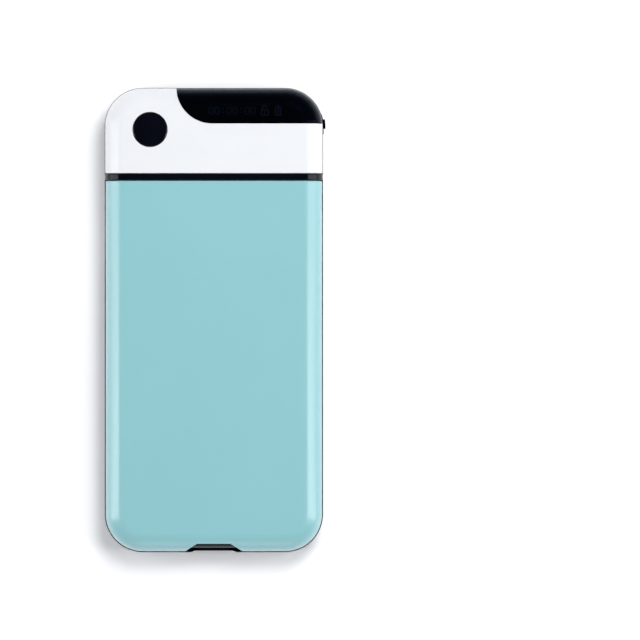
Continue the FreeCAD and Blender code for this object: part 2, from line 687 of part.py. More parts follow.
# ---------------------------------------------------------------- base tray
def tray_shell():
    """Floor, walls and the full-height bulkhead whose top is the dark band."""
    outside = case_slab(0, 0, SEAM_HEIGHT, back_fillet=BACK_FILLET)
    inside = case_slab(TRAY_WALL, TRAY_FLOOR, CASE_DEPTH, back_fillet=BACK_FILLET - TRAY_WALL)
    phone_bay = inside.common(across(-CASE_LENGTH, BAND_LOW))
    electronics_bay = inside.common(across(BAND_HIGH, CASE_LENGTH))
    band_slab = case_slab(BAND_INSET, BACK_FILLET, CASE_DEPTH, front_fillet=FRONT_FILLET)
    band = band_slab.common(across(BAND_LOW, BAND_HIGH))
    crests = end_edges(band, BAND_LOW, SEAM_HEIGHT) + end_edges(band, BAND_HIGH, SEAM_HEIGHT)
    band = band.makeFillet(EDGE_ROUND, crests)
    shell = outside.cut([phone_bay, electronics_bay])
    return shell.fuse([band, band_ledge()])


def band_ledge():
    """Thin arch behind the band that closes the joint under the head cover's edge."""
    outer_inset = COVER_SIDE_INSET + SKIN + LEDGE_GAP
    outer_top = CEILING - LEDGE_GAP
    outer_fillet = FRONT_FILLET - SKIN - LEDGE_GAP
    outer = case_slab(outer_inset, TRAY_FLOOR, outer_top, outer_fillet)
    inner = case_slab(outer_inset + LEDGE_THICKNESS, 0, outer_top - LEDGE_THICKNESS,
                      outer_fillet - LEDGE_THICKNESS)
    reach = across(BAND_HIGH - LEDGE_ROOT, BAND_HIGH + LEDGE_REACH)
    return outer.cut(inner).common(reach)


def screw_tower(x, y, shoulder):
    neck = post(x, y, TOWER_NECK_RADIUS, TRAY_FLOOR / 2, TOWER_HEIGHT)
    lower_radius = TOWER_SHOULDER_RADIUS if shoulder else TOWER_RADIUS
    return neck.fuse(post(x, y, lower_radius, TRAY_FLOOR / 2, PCB_BOTTOM))


def tower_shoulder_needed(y):
    return y > PCB_LOW_Y


def motor_cradle():
    """Saddle under the motor can with a cheek on each side."""
    high_x = MOTOR_END_X - CRADLE_FROM_END
    low_x = high_x - CRADLE_LENGTH
    low_y = MOTOR_LOW_Y - CRADLE_GAP
    high_y = MOTOR_HIGH_Y + CRADLE_GAP
    saddle = box(low_x, high_x, low_y - CRADLE_CHEEK, high_y + CRADLE_CHEEK,
                 TRAY_FLOOR / 2, MOTOR_BOTTOM + CRADLE_CHEEK_RISE)
    seat = box(low_x - OVERRUN, high_x + OVERRUN, low_y, high_y, MOTOR_BOTTOM, CASE_DEPTH)
    return saddle.cut(seat)


def bracket_pads():
    return [
        block(MOTOR_GEARBOX_X + MOTOR_BRACKET_FOOT / 2, PINION_Y + side * BRACKET_SCREW_SPACING / 2,
              MOTOR_BRACKET_FOOT, 2 * MOTOR_BRACKET_MARGIN, TRAY_FLOOR / 2,
              TRAY_FLOOR + MOTOR_BRACKET_RISE)
        for side in SIDES
    ]


def bracket_screw_places():
    x = MOTOR_GEARBOX_X + MOTOR_BRACKET_FOOT / 2 + BRACKET_SCREW_FROM_MIDDLE
    return [(x, PINION_Y + side * BRACKET_SCREW_SPACING / 2) for side in SIDES]


def guide_post(side):
    """Post that carries the bolt plate, with the collar that runs in the plate's slot."""
    column = post(side * GUIDE_X, GUIDE_Y, GUIDE_POST_RADIUS, TRAY_FLOOR / 2,
                  BOLT_PLATE_BOTTOM - GUIDE_SLOT_GAP)
    collar = post(side * GUIDE_X, GUIDE_Y, GUIDE_COLLAR_RADIUS, TRAY_FLOOR / 2,
                  PLATE_TOP + GUIDE_SLOT_GAP)
    return column.fuse(collar)


def tongue_slots():
    half = BOLT_TONGUE_WIDTH / 2 + BOLT_SLOT_GAP
    return [
        box(side * BOLT_TONGUE_X - half, side * BOLT_TONGUE_X + half, BAND_LOW - OVERRUN,
            BAND_HIGH + LEDGE_REACH + OVERRUN, BOLT_PLATE_BOTTOM - BOLT_SLOT_GAP,
            PLATE_TOP + BOLT_SLOT_GAP)
        for side in SIDES
    ]


def tray_screw_holes():
    holes = []
    for x, y in CASE_SCREW_PLACES:
        holes.append(post(x, y, CASE_SCREW_HEAD_RADIUS + CASE_SCREW_CLEARANCE, -OVERRUN,
                          CASE_HEAD_TOP))
        holes.append(post(x, y, CASE_SCREW_RADIUS + CASE_SCREW_CLEARANCE, -OVERRUN,
                          TOWER_HEIGHT + OVERRUN))
    for x, y in PCB_SCREW_PLACES:
        holes.append(post(x, y, PCB_SCREW_RADIUS, PCB_TOP - PCB_SCREW_LENGTH, PCB_TOP))
    for x, y in bracket_screw_places():
        top = TRAY_FLOOR + MOTOR_BRACKET_RISE
        holes.append(post(x, y, BRACKET_SCREW_RADIUS,
                          top + MOTOR_BRACKET_THICKNESS - BRACKET_SCREW_LENGTH, top + OVERRUN))
    for side in SIDES:
        top = PLATE_TOP + GUIDE_SLOT_GAP
        holes.append(post(side * GUIDE_X, GUIDE_Y, GUIDE_SCREW_RADIUS,
                          top - GUIDE_SCREW_LENGTH, top + OVERRUN))
    return holes


def side_key_opening():
    half_y = SIDE_KEY_BASE_LENGTH / 2 + SIDE_KEY_GAP
    half_z = SIDE_KEY_BASE_HEIGHT / 2 + SIDE_KEY_GAP
    return box(CORNER_X, CASE_WIDTH, SIDE_KEY_Y - half_y, SIDE_KEY_Y + half_y,
               SIDE_KEY_Z - half_z, SIDE_KEY_Z + half_z)


def side_key_pocket():
    """Flat inner pocket for the key's flange where the wall starts to curve."""
    half_y = SIDE_KEY_BASE_LENGTH / 2 + SIDE_KEY_FLANGE_OVERLAP + 2 * SIDE_KEY_GAP
    half_z = SIDE_KEY_BASE_HEIGHT / 2 + SIDE_KEY_FLANGE_OVERLAP + 2 * SIDE_KEY_GAP
    return box(CORNER_X, INNER_X, SIDE_KEY_Y - half_y, SIDE_KEY_Y + half_y,
               SIDE_KEY_Z - half_z, SIDE_KEY_Z + half_z)


def usb_opening():
    half = USB_WIDTH / 2 + USB_GAP
    solid = box(USB_X - half, USB_X + half, HEAD_END - 2 * TRAY_WALL,
                HEAD_END + OVERRUN, PCB_TOP, PCB_TOP + USB_HEIGHT + USB_GAP)
    return solid.makeFillet(USB_CORNER + USB_GAP, edges_along_y(solid))


def nail_groove(side):
    high_y = BAND_LOW - NAIL_GROOVE_FROM_BAND
    depth_x = HALF_WIDTH - NAIL_GROOVE_DEPTH
    low_x, high_x = sorted((side * depth_x, side * CASE_WIDTH))
    return box(low_x, high_x, high_y - NAIL_GROOVE_LENGTH, high_y,
               SEAM_HEIGHT - NAIL_GROOVE_HEIGHT, SEAM_HEIGHT + OVERRUN)


def make_base_tray():
    knuckle, bore = hinge_knuckle()
    supports = [screw_tower(x, y, tower_shoulder_needed(y)) for x, y in CASE_SCREW_PLACES]
    supports += [post(x, y, PCB_BOSS_RADIUS, TRAY_FLOOR / 2, PCB_BOTTOM) for x, y in PCB_SCREW_PLACES]
    supports += [guide_post(side) for side in SIDES]
    supports += [motor_cradle()] + bracket_pads() + hinge_guard()
    shell = tray_shell().cut([lid_sweep_relief(), foot_recess()])
    body = joined([shell, knuckle] + supports)
    cuts = [bore, side_key_opening(), side_key_pocket(), usb_opening()]
    cuts += [nail_groove(side) for side in SIDES]
    return body.cut(cuts + tongue_slots() + tray_screw_holes())


# ---------------------------------------------------------------- lid
def lid_arm(side):
    """Lug under the lid's skin that holds one end of the hinge pin."""
    low_x, high_x = sorted((side * LID_ARM_INNER, side * LID_ARM_OUTER))
    eye = rod_x(LID_ARM_RADIUS, low_x, high_x, HINGE_Y, HINGE_HEIGHT)
    neck = box(low_x, high_x, HINGE_Y - LID_ARM_RADIUS, HINGE_Y + LID_ARM_RADIUS,
               HINGE_HEIGHT, CASE_DEPTH)
    return eye.fuse(neck)


def strike_windows(low_y, high_y):
    half = BOLT_TONGUE_WIDTH / 2 + 2 * BOLT_SLOT_GAP
    low_z = BOLT_PLATE_BOTTOM - 1.5 * BOLT_SLOT_GAP
    high_z = PLATE_TOP + 1.5 * BOLT_SLOT_GAP
    return [
        box(side * BOLT_TONGUE_X - half, side * BOLT_TONGUE_X + half, low_y, high_y, low_z, high_z)
        for side in SIDES
    ]


def make_lid_shell():
    outside = case_slab(LID_SIDE_INSET, LID_BOTTOM, CASE_DEPTH, front_fillet=FRONT_FILLET)
    outside = outside.common(across(-CASE_LENGTH, LID_TOP))
    rounded = outside.makeFillet(EDGE_ROUND, end_edges(outside, LID_TOP, LID_BOTTOM + 0.01))
    inside = case_slab(LID_SIDE_INSET + SKIN, 0, CEILING, front_fillet=FRONT_FILLET - SKIN)
    inside = inside.common(across(-CASE_LENGTH, STRIKE_FACE_Y))
    arms = [lid_arm(side).common(outside) for side in SIDES]
    body = joined([rounded.cut(inside)] + arms)
    knuckle_room = rod_x(KNUCKLE_RADIUS + SWEEP_CLEARANCE, -LID_ARM_INNER, LID_ARM_INNER,
                         HINGE_Y, HINGE_HEIGHT)
    pin_hole = rod_x(HINGE_PIN_RADIUS, -LID_ARM_OUTER, LID_ARM_OUTER, HINGE_Y, HINGE_HEIGHT)
    pilots = [
        rod_y(STRIKE_SCREW_RADIUS, STRIKE_FACE_Y, STRIKE_FACE_Y + STRIKE_SCREW_BITE,
              side * STRIKE_SCREW_X, (STRIKE_LOW + STRIKE_HIGH) / 2)
        for side in SIDES
    ]
    windows = strike_windows(STRIKE_FACE_Y - OVERRUN, LID_TOP + OVERRUN)
    return body.cut([notch_prism(), knuckle_room, pin_hole] + pilots + windows)


def make_lid_pad():
    inset = LID_SIDE_INSET + FRONT_FILLET + PAD_EDGE_GAP
    low_y = HINGE_Y + GUARD_REACH + GUARD_THICKNESS + 2 * PAD_EDGE_GAP
    high_y = STRIKE_FACE_Y - STRIKE_THICKNESS - STRIKE_SCREW_HEAD_HEIGHT - PAD_EDGE_GAP
    half_width = HALF_WIDTH - inset
    return rounded_block(-half_width, half_width, low_y, high_y,
                         CEILING - LID_PAD_THICKNESS, CEILING, PLAN_CORNER - inset)


def make_floor_pad():
    inset = BACK_FILLET + PAD_EDGE_GAP
    half_width = HALF_WIDTH - inset
    return rounded_block(-half_width, half_width, FOOT_END + inset, BAND_LOW - 4 * PAD_EDGE_GAP,
                         TRAY_FLOOR, TRAY_FLOOR + FLOOR_PAD_THICKNESS, PLAN_CORNER - inset)


def make_strike_plate():
    plate = box(-STRIKE_HALF_WIDTH, STRIKE_HALF_WIDTH, STRIKE_FACE_Y - STRIKE_THICKNESS,
                STRIKE_FACE_Y, STRIKE_LOW, STRIKE_HIGH)
    holes = [
        rod_y(STRIKE_SCREW_RADIUS, STRIKE_FACE_Y - 2 * STRIKE_THICKNESS, STRIKE_FACE_Y + OVERRUN,
              side * STRIKE_SCREW_X, (STRIKE_LOW + STRIKE_HIGH) / 2)
        for side in SIDES
    ]
    return plate.cut(strike_windows(STRIKE_FACE_Y - 2 * STRIKE_THICKNESS, LID_TOP) + holes)


def make_strike_screw(side):
    base = Vector(side * STRIKE_SCREW_X, STRIKE_FACE_Y - STRIKE_THICKNESS,
                  (STRIKE_LOW + STRIKE_HIGH) / 2)
    return headed_screw(base, Y_AXIS, STRIKE_SCREW_RADIUS, STRIKE_THICKNESS + STRIKE_SCREW_BITE,
                        STRIKE_SCREW_HEAD_RADIUS, STRIKE_SCREW_HEAD_HEIGHT)


def make_lid_magnet():
    middle_z = (STRIKE_LOW + STRIKE_HIGH) / 2 - MAGNET_DROP
    return box(MAGNET_X - MAGNET_SIZE / 2, MAGNET_X + MAGNET_SIZE / 2,
               STRIKE_FACE_Y - MAGNET_THICKNESS, STRIKE_FACE_Y,
               middle_z - MAGNET_SIZE / 2, middle_z + MAGNET_SIZE / 2)


def make_hinge_pin():
    half_length = LID_ARM_OUTER - HINGE_PIN_END_INSET
    return rod_x(HINGE_PIN_RADIUS, -half_length, half_length, HINGE_Y, HINGE_HEIGHT)


# ---------------------------------------------------------------- head cover and window
def window_prism(inset):
    """Outline of the window: round at its lower left, open to the top and the right."""
    radius = WINDOW_ARC_RADIUS - inset
    edge_y = WINDOW_EDGE_Y + inset
    centre = Vector(WINDOW_ARC_X, WINDOW_EDGE_Y + WINDOW_ARC_RADIUS, 0)
    low_z = SEAM_HEIGHT - OVERRUN
    straight = box(WINDOW_ARC_X, CASE_WIDTH, edge_y, CASE_LENGTH, low_z, 2 * CASE_DEPTH)
    disc = post(centre.x, centre.y, radius, low_z, 2 * CASE_DEPTH)
    upper = box(centre.x - radius, centre.x + OVERRUN, centre.y, CASE_LENGTH, low_z, 2 * CASE_DEPTH)
    return straight.fuse([disc, upper]).removeSplitter()


def window_layer(gap):
    """Outer layer of the head that the window takes up."""
    outer_inset = COVER_SIDE_INSET
    inner_inset = COVER_SIDE_INSET + WINDOW_THICKNESS + gap
    outer = case_slab(outer_inset, SEAM_HEIGHT, CASE_DEPTH, front_fillet=FRONT_FILLET)
    inner = case_slab(inner_inset, 0, CASE_DEPTH - WINDOW_THICKNESS - gap,
                      front_fillet=FRONT_FILLET - WINDOW_THICKNESS - gap)
    return outer.cut(inner)


def make_display_window():
    return window_layer(0).common(window_prism(WINDOW_GAP))


def cover_boss(x, y):
    """Screw boss that ends halfway into the cover's skin, also where the skin curves down."""
    limit = case_slab(COVER_SIDE_INSET + SKIN / 2, 0, CASE_DEPTH - SKIN / 2,
                      front_fillet=FRONT_FILLET - SKIN / 2)
    return post(x, y, COVER_BOSS_RADIUS, TOWER_HEIGHT, CASE_DEPTH).common(limit)


def make_head_cover():
    outside = case_slab(COVER_SIDE_INSET, SEAM_HEIGHT, CASE_DEPTH, front_fillet=FRONT_FILLET)
    outside = outside.common(across(COVER_LOW, CASE_LENGTH))
    rounded = outside.makeFillet(EDGE_ROUND, end_edges(outside, COVER_LOW, SEAM_HEIGHT + 0.01))
    inside = case_slab(COVER_SIDE_INSET + SKIN, 0, CEILING, front_fillet=FRONT_FILLET - SKIN)
    shell = rounded.cut([inside, window_prism(WINDOW_LEDGE)])
    shell = joined([shell] + [cover_boss(x, y) for x, y in CASE_SCREW_PLACES])
    pilots = [
        post(x, y, CASE_SCREW_RADIUS, TOWER_HEIGHT - OVERRUN,
             TOWER_HEIGHT + CASE_SCREW_GRIP + CASE_SCREW_END_GAP)
        for x, y in CASE_SCREW_PLACES
    ]
    button_hole = post(BUTTON_X, BUTTON_Y, BUTTON_RADIUS + BUTTON_GAP, SEAM_HEIGHT,
                       CASE_DEPTH + OVERRUN)
    window_seat = window_layer(WINDOW_GLUE).common(window_prism(0))
    return shell.cut(pilots + [button_hole, window_seat])


# ---------------------------------------------------------------- controls
def make_main_button():
    cap_base = CASE_DEPTH - BUTTON_CAP_DEPTH
    cap = post(BUTTON_X, BUTTON_Y, BUTTON_RADIUS, cap_base, CASE_DEPTH)
    cap = cap.makeFillet(EDGE_ROUND, level_edges(cap, CASE_DEPTH))
    flange = post(BUTTON_X, BUTTON_Y, BUTTON_RADIUS + BUTTON_FLANGE_OVERLAP,
                  cap_base - BUTTON_FLANGE_THICKNESS, cap_base)
    stem = post(BUTTON_X, BUTTON_Y, BUTTON_STEM_RADIUS,
                PCB_TOP + TACT_HEIGHT + TACT_PLUNGER_RISE, cap_base)
    return joined([cap, flange, stem])


def make_main_switch():
    top = PCB_TOP + TACT_HEIGHT
    body = block(BUTTON_X, BUTTON_Y, TACT_SIZE, TACT_SIZE, PCB_TOP, top)
    well = post(BUTTON_X, BUTTON_Y, TACT_PLUNGER_RADIUS + TACT_PLUNGER_GAP,
                top - TACT_PLUNGER_DEPTH - BUTTON_TRAVEL, top + OVERRUN)
    return body.cut(well)


def make_main_switch_plunger():
    top = PCB_TOP + TACT_HEIGHT
    return post(BUTTON_X, BUTTON_Y, TACT_PLUNGER_RADIUS,
                top - TACT_PLUNGER_DEPTH + TACT_PLUNGER_END_GAP, top + TACT_PLUNGER_RISE)


def side_key_part(rise, length, height):
    """Piece of the key that follows the case's side, proud of it by rise."""
    outer = case_slab(-rise, SIDE_KEY_Z - height / 2, SIDE_KEY_Z + height / 2)
    span = box(INNER_X - SIDE_KEY_ROOT, CASE_WIDTH, SIDE_KEY_Y - length / 2,
               SIDE_KEY_Y + length / 2, 0, CASE_DEPTH)
    return outer.common(span)


def make_side_key():
    base = side_key_part(SIDE_KEY_BASE_RISE, SIDE_KEY_BASE_LENGTH, SIDE_KEY_BASE_HEIGHT)
    nub = side_key_part(SIDE_KEY_NUB_RISE, SIDE_KEY_NUB_LENGTH, SIDE_KEY_NUB_HEIGHT)
    flange_high_x = INNER_X - SIDE_KEY_FLANGE_GAP
    flange_low_x = flange_high_x - SIDE_KEY_FLANGE_THICKNESS
    half_y = SIDE_KEY_BASE_LENGTH / 2 + SIDE_KEY_FLANGE_OVERLAP
    half_z = SIDE_KEY_BASE_HEIGHT / 2 + SIDE_KEY_FLANGE_OVERLAP
    flange = box(flange_low_x, flange_high_x, SIDE_KEY_Y - half_y, SIDE_KEY_Y + half_y,
                 SIDE_KEY_Z - half_z, SIDE_KEY_Z + half_z)
    stub = rod_x(SIDE_KEY_STUB_RADIUS, SIDE_TACT_FACE_X + SIDE_TACT_PLUNGER_RISE, flange_high_x,
                 SIDE_KEY_Y, SIDE_KEY_Z)
    return joined([base, nub, flange, stub])


def make_side_switch():
    body = box(SIDE_TACT_FACE_X - SIDE_TACT_DEPTH, SIDE_TACT_FACE_X, SIDE_KEY_Y - TACT_SIZE / 2,
               SIDE_KEY_Y + TACT_SIZE / 2, PCB_TOP, PCB_TOP + SIDE_TACT_HEIGHT)
    well = rod_x(SIDE_TACT_PLUNGER_RADIUS + TACT_PLUNGER_GAP,
                 SIDE_TACT_FACE_X - TACT_PLUNGER_DEPTH - SIDE_KEY_TRAVEL,
                 SIDE_TACT_FACE_X + OVERRUN, SIDE_KEY_Y, SIDE_KEY_Z)
    return body.cut(well)


def make_side_switch_plunger():
    return rod_x(SIDE_TACT_PLUNGER_RADIUS,
                 SIDE_TACT_FACE_X - TACT_PLUNGER_DEPTH + TACT_PLUNGER_END_GAP,
                 SIDE_TACT_FACE_X + SIDE_TACT_PLUNGER_RISE, SIDE_KEY_Y, SIDE_KEY_Z)


# ---------------------------------------------------------------- lock drive
def make_latch_plate():
    crossbar = box(-CROSSBAR_HALF_WIDTH, CROSSBAR_HALF_WIDTH, CROSSBAR_LOW_Y, CROSSBAR_HIGH_Y,
                   BOLT_PLATE_BOTTOM, PLATE_TOP)
    tongues = [
        block(side * BOLT_TONGUE_X, (TONGUE_TIP_Y + CROSSBAR_LOW_Y) / 2, BOLT_TONGUE_WIDTH,
              CROSSBAR_LOW_Y - TONGUE_TIP_Y, BOLT_PLATE_BOTTOM, PLATE_TOP)
        for side in SIDES
    ]
    slot_half = GUIDE_COLLAR_RADIUS + GUIDE_SLOT_GAP
    pad_end = GUIDE_Y + BOLT_TRAVEL + slot_half + GUIDE_PAD_END
    pads = [
        block(side * GUIDE_X, (CROSSBAR_LOW_Y + pad_end) / 2, 2 * (CROSSBAR_HALF_WIDTH - GUIDE_X),
              pad_end - CROSSBAR_LOW_Y, BOLT_PLATE_BOTTOM, PLATE_TOP)
        for side in SIDES
    ]
    slots = []
    for side in SIDES:
        x = side * GUIDE_X
        slots.append(box(x - slot_half, x + slot_half, GUIDE_Y, GUIDE_Y + BOLT_TRAVEL,
                         BOLT_PLATE_BOTTOM - OVERRUN, PLATE_TOP + OVERRUN))
        for y in (GUIDE_Y, GUIDE_Y + BOLT_TRAVEL):
            slots.append(post(x, y, slot_half, BOLT_PLATE_BOTTOM - OVERRUN, PLATE_TOP + OVERRUN))
    tail = box(PINION_X - RACK_TAIL_WIDTH / 2, PINION_X + RACK_TAIL_WIDTH / 2, CROSSBAR_LOW_Y,
               RACK_TAIL_END, BOLT_PLATE_BOTTOM, PLATE_TOP)
    rack_low_y = PINION_Y - 2 * TOOTH_PITCH
    rack_bar = box(PINION_X - PINION_WIDTH / 2, PINION_X + PINION_WIDTH / 2, rack_low_y,
                   RACK_TAIL_END, RACK_PITCH_Z + TOOTH_DEDENDUM, BOLT_PLATE_BOTTOM)
    teeth = [rack_tooth(PINION_Y + (index - 1) * TOOTH_PITCH) for index in range(RACK_TEETH)]
    return joined([crossbar, tail, rack_bar] + tongues + pads + teeth).cut(slots)


def make_drive_pinion():
    edges = []
    for index in range(PINION_TEETH):
        edges += pinion_tooth_edges(index)
    outline = Part.Wire(Part.sortEdges(edges)[0])
    gear = Part.Face(outline).extrude(Vector(PINION_WIDTH, 0, 0))
    gear.translate(Vector(PINION_X - PINION_WIDTH / 2, PINION_Y, PINION_HEIGHT))
    return gear.cut(rod_x(MOTOR_SHAFT_RADIUS, 0, CASE_WIDTH, PINION_Y, PINION_HEIGHT))


def make_motor_shaft():
    return rod_x(MOTOR_SHAFT_RADIUS, PINION_X - PINION_WIDTH / 2 - MOTOR_SHAFT_OUTREACH,
                 MOTOR_GEARBOX_X + MOTOR_SHAFT_DEPTH, PINION_Y, PINION_HEIGHT)


def make_motor_gearbox():
    body = box(MOTOR_GEARBOX_X, MOTOR_CAN_X, MOTOR_LOW_Y, MOTOR_HIGH_Y, MOTOR_BOTTOM,
               MOTOR_BOTTOM + MOTOR_HEIGHT)
    bore = rod_x(MOTOR_SHAFT_RADIUS + MOTOR_SHAFT_RUNNING_GAP, 0,
                 MOTOR_GEARBOX_X + MOTOR_SHAFT_DEPTH + MOTOR_SHAFT_END_GAP, PINION_Y, PINION_HEIGHT)
    return body.cut(bore)


def make_motor_can():
    round_can = rod_x(MOTOR_CAN_RADIUS, MOTOR_CAN_X, MOTOR_END_X, PINION_Y, PINION_HEIGHT)
    flats = box(MOTOR_CAN_X - OVERRUN, MOTOR_END_X + OVERRUN, MOTOR_LOW_Y, MOTOR_HIGH_Y,
                MOTOR_BOTTOM, MOTOR_BOTTOM + MOTOR_HEIGHT)
    return round_can.common(flats)


def make_motor_bracket():
    """Angle plate: its face holds the gearbox and its foot is screwed to the floor pads."""
    foot_z = TRAY_FLOOR + MOTOR_BRACKET_RISE
    face_x = MOTOR_GEARBOX_X - MOTOR_BRACKET_THICKNESS
    low_y = PINION_Y - BRACKET_SCREW_SPACING / 2 - MOTOR_BRACKET_MARGIN
    high_y = PINION_Y + BRACKET_SCREW_SPACING / 2 + MOTOR_BRACKET_MARGIN
    face = box(face_x, MOTOR_GEARBOX_X, low_y, high_y, foot_z,
               MOTOR_BOTTOM + MOTOR_HEIGHT - MOTOR_BRACKET_TOP_DROP)
    foot = box(face_x, MOTOR_GEARBOX_X + MOTOR_BRACKET_FOOT, low_y, high_y, foot_z,
               foot_z + MOTOR_BRACKET_THICKNESS)
    shaft_room = rod_x(2 * MOTOR_SHAFT_RADIUS, 0, CASE_WIDTH, PINION_Y, PINION_HEIGHT)
    holes = [post(x, y, BRACKET_SCREW_RADIUS, 0, CASE_DEPTH) for x, y in bracket_screw_places()]
    return joined([face, foot]).cut([shaft_room] + holes)


def make_bracket_screw(place):
    x, y = place
    base = Vector(x, y, TRAY_FLOOR + MOTOR_BRACKET_RISE + MOTOR_BRACKET_THICKNESS)
    return headed_screw(base, Z_AXIS * -1, BRACKET_SCREW_RADIUS, BRACKET_SCREW_LENGTH,
                        BRACKET_SCREW_HEAD_RADIUS, BRACKET_SCREW_HEAD_HEIGHT)


def make_guide_screw(side):
    base = Vector(side * GUIDE_X, GUIDE_Y, PLATE_TOP + GUIDE_SLOT_GAP)
    return headed_screw(base, Z_AXIS * -1, GUIDE_SCREW_RADIUS, GUIDE_SCREW_LENGTH,
                        GUIDE_SCREW_HEAD_RADIUS, GUIDE_SCREW_HEAD_HEIGHT)


# ---------------------------------------------------------------- board, battery, display
def make_main_pcb():
    slab = case_slab(TRAY_WALL + PCB_WALL_GAP, PCB_BOTTOM, PCB_TOP)
    board = slab.common(across(PCB_LOW_Y, CASE_LENGTH))
    holes = [post(x, y, PCB_SCREW_RADIUS, 0, CASE_DEPTH) for x, y in PCB_SCREW_PLACES]
    holes += [
        post(x, y, TOWER_NECK_RADIUS + PCB_HOLE_GAP, 0, CASE_DEPTH)
        for x, y in CASE_SCREW_PLACES if tower_shoulder_needed(y)
    ]
    return board.cut(holes)


def make_pcb_screw(place):
    x, y = place
    return headed_screw(Vector(x, y, PCB_TOP), Z_AXIS * -1, PCB_SCREW_RADIUS, PCB_SCREW_LENGTH,
                        PCB_SCREW_HEAD_RADIUS, PCB_SCREW_HEAD_HEIGHT)


def make_case_screw(place):
    x, y = place
    length = TOWER_HEIGHT - CASE_HEAD_TOP + CASE_SCREW_GRIP
    return headed_screw(Vector(x, y, CASE_HEAD_TOP), Z_AXIS, CASE_SCREW_RADIUS, length,
                        CASE_SCREW_HEAD_RADIUS, CASE_SCREW_HEAD_HEIGHT)


def make_screw_plug(place):
    x, y = place
    radius = CASE_SCREW_HEAD_RADIUS + CASE_SCREW_CLEARANCE - SCREW_PLUG_GAP
    return post(x, y, radius, 0, SCREW_PLUG_THICKNESS)


def make_battery():
    cell = box(BATTERY_LOW_X, BATTERY_HIGH_X, BATTERY_LOW_Y, BATTERY_HIGH_Y, BATTERY_BOTTOM,
               BATTERY_TOP)
    return cell.makeFillet(BATTERY_EDGE, edges_along_x(cell))


def make_battery_tape():
    return box(BATTERY_LOW_X + BATTERY_TAPE_END_INSET, BATTERY_HIGH_X - BATTERY_TAPE_END_INSET,
               BATTERY_LOW_Y + BATTERY_TAPE_SIDE_INSET, BATTERY_HIGH_Y - BATTERY_TAPE_SIDE_INSET,
               TRAY_FLOOR, BATTERY_BOTTOM)


def make_oled_panel():
    return box(OLED_LOW_X, OLED_HIGH_X, OLED_LOW_Y, OLED_HIGH_Y, OLED_BOTTOM, OLED_TOP)


def make_oled_carrier():
    plate = box(OLED_LOW_X - CARRIER_MARGIN, OLED_HIGH_X + CARRIER_MARGIN,
                OLED_LOW_Y - CARRIER_MARGIN, OLED_HIGH_Y + CARRIER_MARGIN,
                CARRIER_BOTTOM, OLED_BOTTOM)
    flex_slot = box(FLEX_LOW_X - FLEX_SLOT_GAP, FLEX_HIGH_X + FLEX_SLOT_GAP,
                    OLED_LOW_Y - 2 * CARRIER_MARGIN, OLED_LOW_Y + FLEX_SLOT_REACH,
                    CARRIER_BOTTOM - OVERRUN, OLED_BOTTOM + OVERRUN)
    legs = [post(x, y, CARRIER_LEG_RADIUS, PCB_TOP, OLED_BOTTOM) for x, y in CARRIER_LEG_PLACES]
    return joined([plate] + legs).cut(flex_slot)


def make_display_flex():
    """Ribbon that leaves the panel's underside, drops and lands on the board."""
    drop_y = OLED_LOW_Y - CARRIER_MARGIN + FLEX_EDGE_GAP
    under_panel = box(FLEX_LOW_X, FLEX_HIGH_X, drop_y, OLED_LOW_Y + FLEX_SLOT_REACH,
                      OLED_BOTTOM - FLEX_THICKNESS, OLED_BOTTOM)
    drop = box(FLEX_LOW_X, FLEX_HIGH_X, drop_y, drop_y + FLEX_THICKNESS, PCB_TOP, OLED_BOTTOM)
    landing = box(FLEX_LOW_X, FLEX_HIGH_X, drop_y - FLEX_REACH, drop_y + FLEX_THICKNESS, PCB_TOP,
                  PCB_TOP + FLEX_THICKNESS)
    return joined([under_panel, drop, landing])


def make_usb_socket():
    mouth_y = HEAD_END - USB_SETBACK
    middle_y = mouth_y - USB_DEPTH / 2
    middle_z = PCB_TOP + USB_HEIGHT / 2
    shell = block(USB_X, middle_y, USB_WIDTH, USB_DEPTH, PCB_TOP, PCB_TOP + USB_HEIGHT)
    shell = shell.makeFillet(USB_CORNER, edges_along_y(shell))
    room = block(USB_X, middle_y + USB_SHELL, USB_WIDTH - 2 * USB_SHELL, USB_DEPTH,
                 PCB_TOP + USB_SHELL, PCB_TOP + USB_HEIGHT - USB_SHELL)
    room = room.makeFillet(USB_CORNER - USB_SHELL, edges_along_y(room))
    tongue = block(USB_X, middle_y - USB_TONGUE_SETBACK / 2, USB_TONGUE_WIDTH,
                   USB_DEPTH - USB_TONGUE_SETBACK, middle_z - USB_TONGUE_HEIGHT / 2,
                   middle_z + USB_TONGUE_HEIGHT / 2)
    return shell.cut(room).fuse(tongue).removeSplitter()


def make_buzzer():
    body = post(BUZZER_X, BUZZER_Y, BUZZER_RADIUS, PCB_TOP, PCB_TOP + BUZZER_HEIGHT)
    port = post(BUZZER_X, BUZZER_Y, BUZZER_PORT_RADIUS, PCB_TOP + BUZZER_HEIGHT / 2,
                PCB_TOP + BUZZER_HEIGHT + OVERRUN)
    return body.cut(port)


def make_controller_chip():
    return block(CHIP_X, CHIP_Y, CHIP_SIZE, CHIP_SIZE, PCB_TOP, PCB_TOP + CHIP_HEIGHT)


def make_lead_socket(x):
    low_y = PCB_LOW_Y + SOCKET_SETBACK
    return box(x - SOCKET_WIDTH / 2, x + SOCKET_WIDTH / 2, low_y, low_y + SOCKET_LENGTH, PCB_TOP,
               PCB_TOP + SOCKET_HEIGHT)


